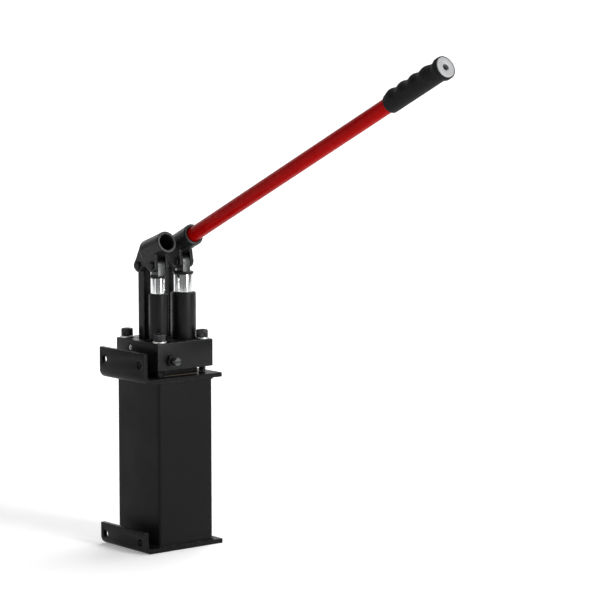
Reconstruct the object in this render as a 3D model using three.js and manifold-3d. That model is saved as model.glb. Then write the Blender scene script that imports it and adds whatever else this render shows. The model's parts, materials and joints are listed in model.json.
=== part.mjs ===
// Two-stage hydraulic hand pump: an upright oil tank between two flanged end plates, a steel pump
// block on top, a small high-pressure plunger and a large fast-fill plunger side by side, each with
// its own lever socket, and one loose handle that fits either socket.
//
// Frame: millimetres, +Z up, X across the two plungers, the sockets open towards -Y. The origin is
// the centre of the tank's footprint on the underside of the bottom plate.

import * as THREE from 'three';
import { mergeVertices } from 'three/addons/utils/BufferGeometryUtils.js';
import Module from 'manifold-3d';

const wasm = await Module();
wasm.setup();

// ---- Driving dimensions -------------------------------------------------------------------------

const FIT = 0.25; // radial clearance of a fastener or plug in its hole
const SEAT = 0.3; // gap between pieces that rest on each other on a slope or a curve
const RUN = 0.1; // radial clearance of a pin or rod that moves in its hole

const pitch = 42; // between the two plungers
const rods = { left: 9, right: 13 }; // plunger radii
const blockSide = Math.max(25, rods.right + 12); // from a plunger's line to the side of the block
const blockFront = Math.max(33, rods.right + 20); // and to its front
const tank = { width: pitch + 2 * blockSide - 2, depth: 96, height: 224, wall: 2.5, corner: 4 };
const plate = { thickness: 6, right: 14, left: 27, front: 3, bend: 5, topFlange: 42, bottomFlange: 30 };
const flangeHole = { radius: 5.5, spread: tank.depth - 16, lowRise: 9, highRise: 20 };
const gasketThickness = 1;
const spacer = { width: tank.width - 22, depth: tank.depth - 24, height: 8, wall: 4.5, corner: 11 };
const block = { width: tank.width + 2, depth: tank.depth, height: 37, chamfer: 1.2 };
const bolt = { radius: 5, headRadius: 8, headHeight: 10, socket: 4.6, insetX: 10.5, insetY: 10.5, reach: 8 };
const washer = { radius: 9.5, thickness: 2.5 };

const plungerY = blockFront - block.depth / 2; // both plungers stand on this line
const linkY = plungerY + 31; // the rear links swing on this line
const barrelHeight = 63; // above the block
const spigotDepth = 17;
const chamberDepth = 4; // below the spigot, over the inlet valve
const seal = { depth: 8, width: 2.2, height: 5, wiperHeight: 3.6, lip: 1.2 }; // in a barrel's mouth
const collar = { height: 4, belowPin: 13.5 };
const pumps = [
  { side: 'left', x: -pitch / 2, rod: rods.left, wall: 4, collar: 10.5, angle: 20, socketLength: 48 },
  { side: 'right', x: pitch / 2, rod: rods.right, wall: 4.25, collar: 14, angle: 25.4, socketLength: 56 },
];

const pin = { radius: 4, headRadius: 5.6, headHeight: 2.2, overhang: 2 };
const keySocket = 2.2; // corner radius of the hexagon sockets in the block's small plugs
const pinSpan = 31.5; // rear link pin to plunger pin, in the lever
const pinDrop = 16; // degrees that the line of the two pins falls below the socket's axis
const tongue = { halfWidth: 6, endRadius: 8, slotHalf: 1.8, slotEase: 0.4 };
const ear = { thickness: 5, gap: 0.4, radius: 9 };
const link = { length: 110.5, halfWidth: 5.8, endRadius: 8, barHalf: 6.5, pinDepth: 11, slotEase: 0.5 };
const socketRadius = 15;
const socket = { radius: socketRadius, bore: 10.75, backWall: 6, rise: socketRadius + 0.5, behind: 13 };

const handle = { radius: 10, wall: 2, exposed: 555 };
const grip = { length: 111, radius: 13, bump: 2, bumps: 4, neck: 8, endRadius: 15, endLength: 7 };
const endCap = { radius: 13.2, thickness: 3, hole: 4.2, plug: 12 };

const suction = { radius: 6, bore: 4, bottomGap: 30 };
const strainer = { radius: 12, height: 22, below: 10, sheet: 1.2, lid: 3 }; // hangs on the suction pipe's end
const gallery = { radius: 3, rise: 6, plugRadius: 4, plugLength: 9 };
const inlet = { ballRadius: 5, seatRadius: 3.5 };
const outlet = { rise: 15, portRadius: 7, portDepth: 17, chamberRadius: 5.5, chamberEnd: 10, seatRadius: 2.5,
  ballRadius: 4, wire: 0.6, hexFlats: 19, hexLength: 10, noseLength: 12 };
const relief = { y: plungerY + 17, rise: 12, radius: 4, boreEnd: 16, seatRadius: 1.5, ballRadius: 2.5,
  screwLength: 10, screwInset: 2, wire: 0.45 };
const release = { x: -pitch / 2 - 4, rise: 13, radius: 4, depth: 20, glandFlats: 14, glandLength: 5,
  headRadius: 5.5, headLength: 11, slot: 2.4, slotDepth: 4, passage: 1.3 };
const filler = { z: tank.height - 24, radius: 8, flats: 19, head: 8, key: 8, washerRadius: 12,
  washerThickness: 1.5, stem: 9 };

// ---- Levels -------------------------------------------------------------------------------------

const shellBottom = plate.thickness;
const shellTop = shellBottom + tank.height;
const plateTop = shellTop + plate.thickness;
const spacerBottom = plateTop + gasketThickness;
const spacerTop = spacerBottom + spacer.height;
const blockBottom = spacerTop + gasketThickness;
const blockTop = blockBottom + block.height;
const barrelTop = blockTop + barrelHeight;
const spigotBottom = blockTop - spigotDepth;
const chamberFloor = spigotBottom - chamberDepth;
const linkPinZ = blockTop - link.pinDepth;

// ---- Materials ----------------------------------------------------------------------------------

function finish(color, roughness, metalness) {
  return new THREE.MeshStandardMaterial({ color, roughness, metalness });
}

const blackPaint = finish(0x1d1d1e, 0.5, 0.1);
const blackSteel = finish(0x141416, 0.45, 0.6);
const zinc = finish(0xb4b8ba, 0.35, 0.9);
const chrome = finish(0xdadde0, 0.12, 1);
const steel = finish(0x8f9498, 0.4, 0.9);
const redPaint = finish(0x930405, 0.35, 0.1);
const rubber = finish(0x1b1b1c, 0.75, 0);
const greyCap = finish(0xb9bbbc, 0.4, 0.6);
const fibre = finish(0x4a4038, 0.9, 0);
const sealRubber = finish(0x0f0f10, 0.6, 0);
const brass = finish(0xb08d4a, 0.35, 0.9);

// ---- Solids -------------------------------------------------------------------------------------

/** A closed three.js geometry as a manifold solid, its faces turned outwards. */
function solidOf(geometry) {
  const plain = geometry.clone();
  plain.deleteAttribute('normal');
  plain.deleteAttribute('uv');
  const merged = mergeVertices(plain, 1e-4);
  const position = merged.attributes.position;
  const corners = [0, 1, 2].map(() => new THREE.Vector3());
  const kept = [];
  let volume = 0;
  for (let i = 0; i < merged.index.count; i += 3) {
    const [a, b, c] = [0, 1, 2].map((k) => merged.index.getX(i + k));
    if (a === b || b === c || c === a) continue;
    [a, b, c].forEach((index, k) => corners[k].fromBufferAttribute(position, index));
    volume += corners[0].dot(corners[1].clone().cross(corners[2]));
    kept.push([a, b, c]);
  }
  const triVerts = new Uint32Array(kept.flatMap(([a, b, c]) => (volume > 0 ? [a, b, c] : [a, c, b])));
  const vertProperties = new Float32Array(position.array);
  return new wasm.Manifold(new wasm.Mesh({ numProp: 3, vertProperties, triVerts }));
}

/** A geometry built along +Z is laid along the named axis, its start at the point given. */
function laid(geometry, axis, at) {
  if (axis === 'x') geometry.rotateY(Math.PI / 2);
  if (axis === 'y') geometry.rotateX(-Math.PI / 2);
  return geometry.translate(...at);
}

function cylinder(radius, length, axis = 'z', at = [0, 0, 0], segments = 16) {
  const geometry = new THREE.CylinderGeometry(radius, radius, length, segments);
  return solidOf(laid(geometry.rotateX(Math.PI / 2).translate(0, 0, length / 2), axis, at));
}

/** Turns a closed outline of [radius, height] corners about the named axis. */
function turned(outline, axis = 'z', at = [0, 0, 0], segments = 24) {
  const points = outline.map(([radius, height]) => new THREE.Vector2(radius, height));
  const [first, last] = [outline[0], outline[outline.length - 1]];
  if (first[0] > 0 || last[0] > 0) points.push(points[0].clone());
  const geometry = new THREE.LatheGeometry(points, segments).rotateX(Math.PI / 2);
  return solidOf(laid(geometry, axis, at));
}

function ring(outer, inner, length, axis = 'z', at = [0, 0, 0], segments = 24) {
  return turned([[inner, 0], [outer, 0], [outer, length], [inner, length]], axis, at, segments);
}

function prism(shape, length, axis = 'z', at = [0, 0, 0], curveSegments = 5) {
  const geometry = new THREE.ExtrudeGeometry(shape, { depth: length, bevelEnabled: false, curveSegments });
  return solidOf(laid(geometry, axis, at));
}

function box(width, depth, height, at) {
  const geometry = new THREE.BoxGeometry(width, depth, height);
  return solidOf(geometry.translate(at[0], at[1], at[2] + height / 2));
}

/** A hexagonal bar, measured across its flats. */
function hexagon(flats, length, axis, at) {
  return cylinder(flats / Math.sqrt(3), length, axis, at, 6);
}

function ball(radius, at) {
  return solidOf(new THREE.SphereGeometry(radius, 12, 8).translate(...at));
}

/** An outline in Y and Z, widened in X by half its thickness to both sides of the middle. */
function slab(shape, halfWidth, middle = 0) {
  const settings = { depth: 2 * halfWidth, bevelEnabled: false, curveSegments: 8 };
  const geometry = new THREE.ExtrudeGeometry(shape, settings);
  geometry.rotateX(Math.PI / 2).rotateZ(Math.PI / 2);
  return solidOf(geometry.translate(middle - halfWidth, 0, 0));
}

function roundedRectangle(width, depth, radius) {
  const [w, d] = [width / 2, depth / 2];
  const shape = new THREE.Shape();
  shape.moveTo(-w + radius, -d);
  shape.absarc(w - radius, -d + radius, radius, -Math.PI / 2, 0);
  shape.absarc(w - radius, d - radius, radius, 0, Math.PI / 2);
  shape.absarc(-w + radius, d - radius, radius, Math.PI / 2, Math.PI);
  shape.absarc(-w + radius, -d + radius, radius, Math.PI, 1.5 * Math.PI);
  return shape;
}

function frameShape(width, depth, radius, wall) {
  const shape = roundedRectangle(width, depth, radius);
  shape.holes.push(roundedRectangle(width - 2 * wall, depth - 2 * wall, Math.max(radius - wall, 0.8)));
  return shape;
}

/** A round wire wound about +Z, ground flat in neither end. */
function coilSpring(coilRadius, wireRadius, length, turns, axis, at) {
  const rise = length - 2 * wireRadius;
  const steps = turns * 9;
  const points = [];
  for (let i = 0; i <= steps; i += 1) {
    const turn = (i / steps) * turns * 2 * Math.PI;
    const height = wireRadius + (rise * i) / steps;
    points.push(new THREE.Vector3(coilRadius * Math.cos(turn), coilRadius * Math.sin(turn), height));
  }
  const section = new THREE.Shape();
  section.absarc(0, 0, wireRadius, 0, 2 * Math.PI);
  const extrudePath = new THREE.CatmullRomCurve3(points);
  const geometry = new THREE.ExtrudeGeometry(section, { steps, extrudePath, curveSegments: 3 });
  return solidOf(laid(geometry, axis, at));
}

function cut(body, ...tools) {
  return tools.reduce((left, tool) => left.subtract(tool), body);
}

function join(body, ...others) {
  return others.reduce((whole, other) => whole.add(other), body);
}

// ---- Scene graph --------------------------------------------------------------------------------

const pump = new THREE.Group();

function piece(name, material, solid, parent = pump) {
  const { vertProperties, triVerts } = solid.getMesh();
  const geometry = new THREE.BufferGeometry();
  geometry.setAttribute('position', new THREE.BufferAttribute(vertProperties, 3));
  geometry.setIndex(new THREE.BufferAttribute(triVerts, 1));
  geometry.computeVertexNormals();
  const mesh = new THREE.Mesh(geometry, material.clone());
  mesh.name = name;
  parent.add(mesh);
  return mesh;
}

const boltCorners = [
  [1, -1, 'front_right'], [-1, -1, 'front_left'], [1, 1, 'back_right'], [-1, 1, 'back_left'],
];
const boltPlaces = boltCorners
  .map(([sx, sy, name]) => ({
    name,
    x: sx * (block.width / 2 - bolt.insetX),
    y: sy * (block.depth / 2 - bolt.insetY),
  }));

// ---- Tank ---------------------------------------------------------------------------------------

/** An end plate whose left end is bent up into a drilled mounting flange. */
function endPlate(bottom, flangeHeight, holeHeight) {
  const t = plate.thickness;
  const left = -tank.width / 2 - plate.left;
  const right = tank.width / 2 + plate.right;
  const outer = plate.bend + t;
  const profile = new THREE.Shape();
  profile.moveTo(right, 0);
  profile.lineTo(right, t);
  profile.lineTo(left + outer, t);
  profile.absarc(left + outer, outer, plate.bend, -Math.PI / 2, -Math.PI, true);
  profile.lineTo(left + t, flangeHeight);
  profile.lineTo(left, flangeHeight);
  profile.lineTo(left, outer);
  profile.absarc(left + outer, outer, outer, Math.PI, 1.5 * Math.PI);
  const depth = tank.depth + 2 * plate.front;
  const geometry = new THREE.ExtrudeGeometry(profile, { depth, bevelEnabled: false, curveSegments: 4 });
  geometry.rotateX(Math.PI / 2).translate(0, depth / 2, bottom);
  const holes = [-1, 1].map((side) =>
    cylinder(flangeHole.radius, t + 2, 'x', [left - 1, side * flangeHole.spread / 2, bottom + holeHeight], 24));
  return cut(solidOf(geometry), ...holes);
}

function buildTank() {
  piece('bottom_plate', blackPaint, endPlate(0, plate.bottomFlange, plate.thickness + flangeHole.lowRise));
  const inner = [0, tank.depth / 2 - 2 * tank.wall, filler.z];
  const fillerHole = cylinder(filler.radius + FIT, 2 * tank.corner + tank.wall, 'y', inner);
  const wall = frameShape(tank.width, tank.depth, tank.corner, tank.wall);
  piece('tank_shell', blackPaint, cut(prism(wall, tank.height, 'z', [0, 0, shellBottom]), fillerHole));
  const drilled = cut(
    endPlate(shellTop, plate.topFlange, plate.thickness + flangeHole.highRise),
    cylinder(suction.radius + FIT, plate.thickness + 2, 'z', [0, plungerY, shellTop - 1]),
    cylinder(release.radius, plate.thickness + 2, 'z', [0, 0, shellTop - 1], 20),
    ...boltPlaces.map(({ x, y }) =>
      cylinder(bolt.radius + FIT, plate.thickness + 2, 'z', [x, y, shellTop - 1])),
  );
  piece('top_plate', blackPaint, drilled);

  const outside = tank.depth / 2;
  const seat = outside + filler.washerThickness;
  const stem = cylinder(filler.radius, filler.stem, 'y', [0, seat - filler.stem, filler.z]);
  const head = hexagon(filler.flats, filler.head, 'y', [0, seat, filler.z]);
  const key = hexagon(filler.key, 5, 'y', [0, seat + filler.head - 4, filler.z]);
  piece('filler_plug', zinc, cut(join(stem, head), key));
  const under = [0, outside, filler.z];
  const sealing = ring(filler.washerRadius, filler.radius + FIT, filler.washerThickness, 'y', under);
  piece('filler_washer', brass, sealing);
}

function buildSpacer() {
  const outline = frameShape(spacer.width, spacer.depth, spacer.corner, spacer.wall);
  piece('tank_gasket', fibre, prism(outline, gasketThickness, 'z', [0, 0, plateTop]));
  piece('spacer_frame', blackSteel, prism(outline, spacer.height, 'z', [0, 0, spacerBottom]));
  piece('block_gasket', fibre, prism(outline, gasketThickness, 'z', [0, 0, spacerTop]));
}

function buildSuction() {
  const bottom = shellBottom + suction.bottomGap;
  const top = blockBottom + gallery.rise - gallery.radius;
  const pipe = ring(suction.radius, suction.bore, top - bottom, 'z', [0, plungerY, bottom], 24);
  piece('suction_pipe', steel, pipe);
  const strainerTop = strainer.height - strainer.below;
  const neck = suction.radius + FIT;
  const inside = strainer.radius - strainer.sheet;
  const cup = [
    [0, -strainer.below], [strainer.radius, -strainer.below], [strainer.radius, strainerTop],
    [neck, strainerTop], [neck, strainerTop - strainer.lid], [inside, strainerTop - strainer.lid],
    [inside, strainer.sheet - strainer.below], [0, strainer.sheet - strainer.below],
  ];
  piece('suction_strainer', brass, turned(cup, 'z', [0, plungerY, bottom], 24));
}

// ---- Pump block and its valves ------------------------------------------------------------------

const galleryZ = blockBottom + gallery.rise;
const outletZ = blockBottom + outlet.rise;
const reliefZ = blockBottom + relief.rise;
const releaseZ = blockBottom + release.rise;
const backFace = block.depth / 2;
const rightFace = block.width / 2;

function barrelRadius(unit) {
  return unit.rod + unit.wall;
}

function buildBlock() {
  const outline = roundedRectangle(block.width, block.depth, block.chamfer);
  const body = prism(outline, block.height, 'z', [0, 0, blockBottom]);
  const boltHoles = boltPlaces.map(({ x, y }) =>
    cylinder(bolt.radius + FIT, block.height + 2, 'z', [x, y, blockBottom - 1]));
  const perPump = pumps.flatMap((unit) => {
    const outward = Math.sign(unit.x);
    const bore = barrelRadius(unit) - 1 + FIT;
    const slotHalf = link.halfWidth + link.slotEase;
    const slotDeep = link.pinDepth + link.endRadius + 1.5;
    const pinStart = unit.x - outward * (slotHalf + 8);
    const holeStart = Math.min(pinStart, pinStart + outward * block.width);
    const pinHole = cylinder(pin.radius + FIT, block.width, 'x', [holeStart, linkY, linkPinZ]);
    return [
      cylinder(bore, spigotDepth + chamberDepth + 1, 'z', [unit.x, plungerY, chamberFloor], 24),
      cylinder(inlet.seatRadius, chamberFloor - galleryZ + 1, 'z', [unit.x, plungerY, galleryZ], 12),
      box(2 * slotHalf, 2 * (link.endRadius + 2), slotDeep + 1, [unit.x, linkY, blockTop - slotDeep]),
      pinHole,
    ];
  });
  const galleryEnd = pumps[0].x - gallery.radius;
  const galleryPlugStart = [rightFace - gallery.plugLength, plungerY, galleryZ];
  const galleries = [
    cylinder(gallery.radius, rightFace - galleryEnd + 1, 'x', [galleryEnd, plungerY, galleryZ], 12),
    cylinder(gallery.plugRadius + FIT, gallery.plugLength + 1, 'x', galleryPlugStart),
    cylinder(suction.radius + FIT, gallery.rise - gallery.radius + 1.5, 'z', [0, plungerY, blockBottom - 1]),
    cylinder(suction.bore, gallery.rise + 1, 'z', [0, plungerY, blockBottom - 1], 12),
  ];
  const outletBores = [
    cylinder(outlet.portRadius + FIT, outlet.portDepth + 1, 'y', [0, backFace - outlet.portDepth, outletZ]),
    cylinder(outlet.chamberRadius, backFace - outlet.chamberEnd, 'y', [0, outlet.chamberEnd, outletZ]),
    cylinder(outlet.seatRadius, outlet.chamberEnd - plungerY + 1, 'y', [0, plungerY, outletZ], 12),
    cylinder(1.8, pitch, 'x', [-pitch / 2, plungerY, chamberFloor + chamberDepth / 2], 12),
  ];
  const reliefBores = [
    cylinder(relief.radius + FIT, rightFace - relief.boreEnd + 1, 'x', [relief.boreEnd, relief.y, reliefZ]),
    cylinder(relief.seatRadius, relief.boreEnd - release.x + 1, 'x', [release.x, relief.y, reliefZ], 12),
  ];
  const passageY = -backFace + release.depth;
  const releaseBores = [
    cylinder(release.radius + FIT, release.depth + 1, 'y', [release.x, -backFace - 1, releaseZ]),
    cylinder(release.passage, relief.y - passageY, 'y', [release.x, passageY - 1, reliefZ], 12),
    cylinder(release.passage, release.rise + 1, 'z', [release.x, passageY - 1.6, blockBottom - 1], 12),
  ];
  const bores = [...boltHoles, ...perPump, ...galleries, ...outletBores, ...reliefBores, ...releaseBores];
  piece('pump_block', blackSteel, cut(body, ...bores));
}

function buildBolts() {
  for (const { name, x, y } of boltPlaces) {
    const disc = ring(washer.radius, bolt.radius + FIT, washer.thickness, 'z', [x, y, blockTop], 20);
    piece(`washer_${name}`, zinc, disc);
    const seat = blockTop + washer.thickness;
    const shankBottom = shellTop - bolt.reach;
    const shank = cylinder(bolt.radius, seat - shankBottom + 1, 'z', [x, y, shankBottom], 16);
    const head = turned([
      [0, 0], [bolt.headRadius, 0], [bolt.headRadius, bolt.headHeight - 1],
      [bolt.headRadius - 1, bolt.headHeight], [0, bolt.headHeight],
    ], 'z', [x, y, seat], 20);
    const key = cylinder(bolt.socket, 6, 'z', [x, y, seat + bolt.headHeight - 5], 6);
    piece(`bolt_${name}`, blackSteel, cut(join(shank, head), key));
  }
}

function buildValves() {
  const sphereRise = Math.sqrt(inlet.ballRadius ** 2 - inlet.seatRadius ** 2) + SEAT / 2;
  for (const unit of pumps) {
    const centre = [unit.x, plungerY, chamberFloor + sphereRise];
    piece(`${unit.side}_inlet_ball`, steel, ball(inlet.ballRadius, centre));
  }
  const plugStart = [rightFace - gallery.plugLength, plungerY, galleryZ];
  const galleryPlug = cylinder(gallery.plugRadius, gallery.plugLength - 0.5, 'x', plugStart);
  const galleryKey = cylinder(keySocket, 4, 'x', [rightFace - 3.5, plungerY, galleryZ], 6);
  piece('gallery_plug', steel, cut(galleryPlug, galleryKey));

  const outletRise = Math.sqrt(outlet.ballRadius ** 2 - outlet.seatRadius ** 2) + SEAT / 2;
  const outletBallY = outlet.chamberEnd + outletRise;
  piece('outlet_ball', steel, ball(outlet.ballRadius, [0, outletBallY, outletZ]));
  const springStart = outletBallY + outlet.ballRadius + SEAT;
  const adaptorStart = backFace - outlet.portDepth + 0.5;
  const outletSpringLength = adaptorStart - springStart - SEAT;
  const outletCoil = [outlet.ballRadius - 1, outlet.wire, outletSpringLength, 5];
  piece('outlet_spring', steel, coilSpring(...outletCoil, 'y', [0, springStart, outletZ]));

  const stem = cylinder(outlet.portRadius, backFace - adaptorStart + 1, 'y', [0, adaptorStart, outletZ]);
  const hex = hexagon(outlet.hexFlats, outlet.hexLength, 'y', [0, backFace + SEAT, outletZ]);
  const noseStart = backFace + SEAT + outlet.hexLength;
  const nose = turned([
    [0, -1], [outlet.portRadius - 1.2, -1], [outlet.portRadius - 1.2, 1.5], [outlet.portRadius, 2],
    [outlet.portRadius, outlet.noseLength - 2], [outlet.portRadius - 2, outlet.noseLength],
    [0, outlet.noseLength],
  ], 'y', [0, noseStart, outletZ]);
  const oilWay = cylinder(outlet.seatRadius, 60, 'y', [0, adaptorStart - 1, outletZ], 16);
  piece('outlet_adaptor', zinc, cut(join(stem, hex, nose), oilWay));

  const reliefRise = Math.sqrt(relief.ballRadius ** 2 - relief.seatRadius ** 2) + SEAT / 2;
  const reliefBallX = relief.boreEnd + reliefRise;
  piece('relief_ball', steel, ball(relief.ballRadius, [reliefBallX, relief.y, reliefZ]));
  const screwStart = rightFace - relief.screwInset - relief.screwLength;
  const reliefSpringStart = reliefBallX + relief.ballRadius + SEAT;
  const reliefCoil = [relief.ballRadius - 0.1, relief.wire, screwStart - reliefSpringStart - SEAT, 6];
  piece('relief_spring', steel, coilSpring(...reliefCoil, 'x', [reliefSpringStart, relief.y, reliefZ]));
  const screw = cylinder(relief.radius, relief.screwLength, 'x', [screwStart, relief.y, reliefZ]);
  const screwKey = cylinder(keySocket, 5, 'x', [screwStart + relief.screwLength - 4, relief.y, reliefZ], 6);
  piece('relief_screw', steel, cut(screw, screwKey));
}

function buildRelease() {
  const glandStart = [release.x, -backFace - SEAT - release.glandLength, releaseZ];
  const gland = hexagon(release.glandFlats, release.glandLength, 'y', glandStart);
  const glandBore = cylinder(release.radius + RUN, 20, 'y', [release.x, -backFace - 15, releaseZ]);
  piece('release_gland_nut', blackSteel, cut(gland, glandBore));
  const headEnd = release.glandLength + 2 * SEAT + release.headLength;
  const spindle = turned([
    [0, -headEnd], [release.headRadius - 0.8, -headEnd], [release.headRadius, 0.8 - headEnd],
    [release.headRadius, release.headLength - headEnd], [release.radius - SEAT, release.headLength - headEnd],
    [release.radius - SEAT, release.depth - 6], [0, release.depth - 1.2],
  ], 'y', [release.x, -backFace, releaseZ]);
  const slot = box(release.slot, release.slotDepth * 2, 20, [release.x, -backFace - headEnd, releaseZ - 10]);
  piece('release_spindle', steel, cut(spindle, slot));
}

// ---- Pumping elements and their linkage ---------------------------------------------------------

const radians = THREE.MathUtils.degToRad;

/** Where the plunger pin and the rear link pin stand at rest, and the link's lean. */
function linkage(unit) {
  const rise = radians(unit.angle - pinDrop);
  const rearY = plungerY + pinSpan * Math.cos(rise);
  const lean = Math.asin((rearY - linkY) / link.length);
  const rearZ = linkPinZ + link.length * Math.cos(lean);
  return { rearY, rearZ, lean, plungerPinZ: rearZ + pinSpan * Math.sin(rise) };
}

function buildBarrel(unit) {
  const outer = barrelRadius(unit);
  const bore = unit.rod + 0.15;
  const sealRadius = unit.rod + seal.width;
  const height = barrelTop - spigotBottom;
  const body = turned([
    [bore, 0], [outer - 2, 0], [outer - 1, 1], [outer - 1, spigotDepth], [outer, spigotDepth],
    [outer, height - 1], [outer - 1, height], [sealRadius, height], [sealRadius, height - seal.depth],
    [bore, height - seal.depth],
  ], 'z', [unit.x, plungerY, spigotBottom], 24);
  piece(`${unit.side}_barrel`, blackSteel, body);
  const sealBottom = barrelTop - seal.depth;
  const rodSeal = ring(sealRadius - RUN, unit.rod + RUN, seal.height, 'z', [unit.x, plungerY, sealBottom]);
  piece(`${unit.side}_rod_seal`, sealRubber, rodSeal);
  const tip = seal.wiperHeight;
  const wiper = turned([
    [unit.rod + RUN, 0], [sealRadius - RUN, 0], [sealRadius - RUN, tip - 1.2],
    [unit.rod + seal.lip, tip - 0.2], [unit.rod + RUN, tip],
  ], 'z', [unit.x, plungerY, sealBottom + seal.height + 0.2]);
  piece(`${unit.side}_wiper_ring`, sealRubber, wiper);
}

function buildPlunger(unit) {
  const { plungerPinZ } = linkage(unit);
  const headBottom = plungerPinZ - collar.belowPin - collar.height;
  const restDrop = linkage(pumps[1]).plungerPinZ - plungerPinZ;
  const rodBottom = blockTop + 7 - restDrop;
  const rod = turned([
    [0, 0], [unit.rod - 1, 0], [unit.rod, 1], [unit.rod, headBottom - rodBottom], [0, headBottom - rodBottom],
  ], 'z', [unit.x, plungerY, rodBottom], 24);
  piece(`${unit.side}_plunger`, chrome, rod);

  const disc = turned([
    [0, 0], [unit.collar - 0.6, 0], [unit.collar, 0.6], [unit.collar, collar.height - 0.6],
    [unit.collar - 0.6, collar.height], [0, collar.height],
  ], 'z', [unit.x, plungerY, headBottom], 32);
  const outline = new THREE.Shape();
  outline.moveTo(plungerY - tongue.endRadius, headBottom + 1);
  outline.lineTo(plungerY + tongue.endRadius, headBottom + 1);
  outline.absarc(plungerY, plungerPinZ, tongue.endRadius, 0, Math.PI);
  const hole = new THREE.Shape();
  const holeRadius = pin.radius + tongue.slotEase;
  hole.absarc(plungerY + tongue.slotHalf, plungerPinZ, holeRadius, -Math.PI / 2, Math.PI / 2);
  hole.absarc(plungerY - tongue.slotHalf, plungerPinZ, holeRadius, Math.PI / 2, 1.5 * Math.PI);
  const blade = slab(outline, Math.min(tongue.halfWidth, unit.collar - 1), unit.x);
  const opening = slab(hole, tongue.halfWidth + 1, unit.x);
  piece(`${unit.side}_plunger_head`, blackSteel, cut(join(disc, blade), opening));
}

/** A headed pin along X through the origin of its group. */
function crossPin(halfLength) {
  return turned([
    [0, -halfLength - pin.headHeight], [pin.headRadius - 0.5, -halfLength - pin.headHeight],
    [pin.headRadius, 0.5 - halfLength - pin.headHeight], [pin.headRadius, -halfLength],
    [pin.radius, -halfLength],
    [pin.radius, halfLength - 0.6], [pin.radius - 0.6, halfLength], [0, halfLength],
  ], 'x', [0, 0, 0], 20);
}

function buildLink(unit) {
  const { lean } = linkage(unit);
  const group = new THREE.Group();
  group.position.set(unit.x, linkY, linkPinZ);
  group.rotation.x = -lean;
  pump.add(group);
  const side = Math.sqrt(link.endRadius ** 2 - link.barHalf ** 2);
  const reach = Math.asin(link.barHalf / link.endRadius);
  const outline = new THREE.Shape();
  outline.moveTo(link.barHalf, side);
  outline.lineTo(link.barHalf, link.length - side);
  outline.absarc(0, link.length, link.endRadius, reach - Math.PI / 2, 1.5 * Math.PI - reach);
  outline.lineTo(-link.barHalf, side);
  outline.absarc(0, 0, link.endRadius, Math.PI / 2 + reach, 2.5 * Math.PI - reach);
  for (const height of [0, link.length]) {
    const hole = new THREE.Path();
    hole.absarc(0, height, pin.radius + RUN, 0, 2 * Math.PI);
    outline.holes.push(hole);
  }
  piece(`${unit.side}_link`, blackSteel, slab(outline, link.halfWidth), group);

  const outward = Math.sign(unit.x);
  const inner = Math.abs(unit.x) - link.halfWidth - link.slotEase - 7;
  const outer = rightFace - 0.5;
  const start = outward > 0 ? inner : -outer;
  const basePin = cylinder(pin.radius, outer - inner, 'x', [start, linkY, linkPinZ], 24);
  piece(`${unit.side}_link_base_pin`, steel, basePin);
}

function earOutline() {
  const front = { y: -pinSpan * Math.cos(radians(pinDrop)), z: -pinSpan * Math.sin(radians(pinDrop)) };
  const shape = new THREE.Shape();
  shape.moveTo(front.y - 1.8 * ear.radius, socket.rise);
  shape.lineTo(front.y - ear.radius, front.z);
  shape.absarc(front.y, front.z, ear.radius, Math.PI, 2 * Math.PI - 0.35);
  shape.lineTo(0.45 * front.y, 0.5 * front.z);
  shape.absarc(0, 0, ear.radius, Math.PI + 0.6, 2.4 * Math.PI);
  shape.lineTo(-socket.behind, socket.rise + 0.55 * socket.radius);
  for (const centre of [front, { y: 0, z: 0 }]) {
    const hole = new THREE.Path();
    hole.absarc(centre.y, centre.z, pin.radius + FIT, 0, 2 * Math.PI);
    shape.holes.push(hole);
  }
  return { shape, front };
}

function buildLever(unit) {
  const { rearY, rearZ } = linkage(unit);
  const group = new THREE.Group();
  group.position.set(unit.x, rearY, rearZ);
  group.rotation.x = -radians(unit.angle);
  pump.add(group);
  const { shape, front } = earOutline();
  const inside = tongue.halfWidth + ear.gap;
  const ears = [-1, 1].map((side) => slab(shape, ear.thickness / 2, side * (inside + ear.thickness / 2)));
  const mouth = [0, -socket.behind - unit.socketLength, socket.rise];
  const depth = unit.socketLength - socket.backWall;
  const tube = turned([
    [0, 0], [socket.radius - 1, 0], [socket.radius, 1], [socket.radius, unit.socketLength - 2],
    [socket.radius - 2, unit.socketLength], [0, unit.socketLength],
  ], 'y', mouth, 24);
  const bore = turned([
    [0, -1], [socket.bore + 1.5, -1], [socket.bore, 1], [socket.bore, depth], [0, depth],
  ], 'y', mouth, 24);
  piece(`${unit.side}_lever_socket`, blackSteel, cut(join(tube, ...ears), bore), group);

  const pinHalf = inside + ear.thickness + pin.overhang;
  const frontPin = crossPin(pinHalf).translate([0, front.y, front.z]);
  piece(`${unit.side}_plunger_pin`, blackSteel, frontPin, group);
  piece(`${unit.side}_link_top_pin`, blackSteel, crossPin(pinHalf), group);
  return group;
}

// ---- Handle -------------------------------------------------------------------------------------

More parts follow.
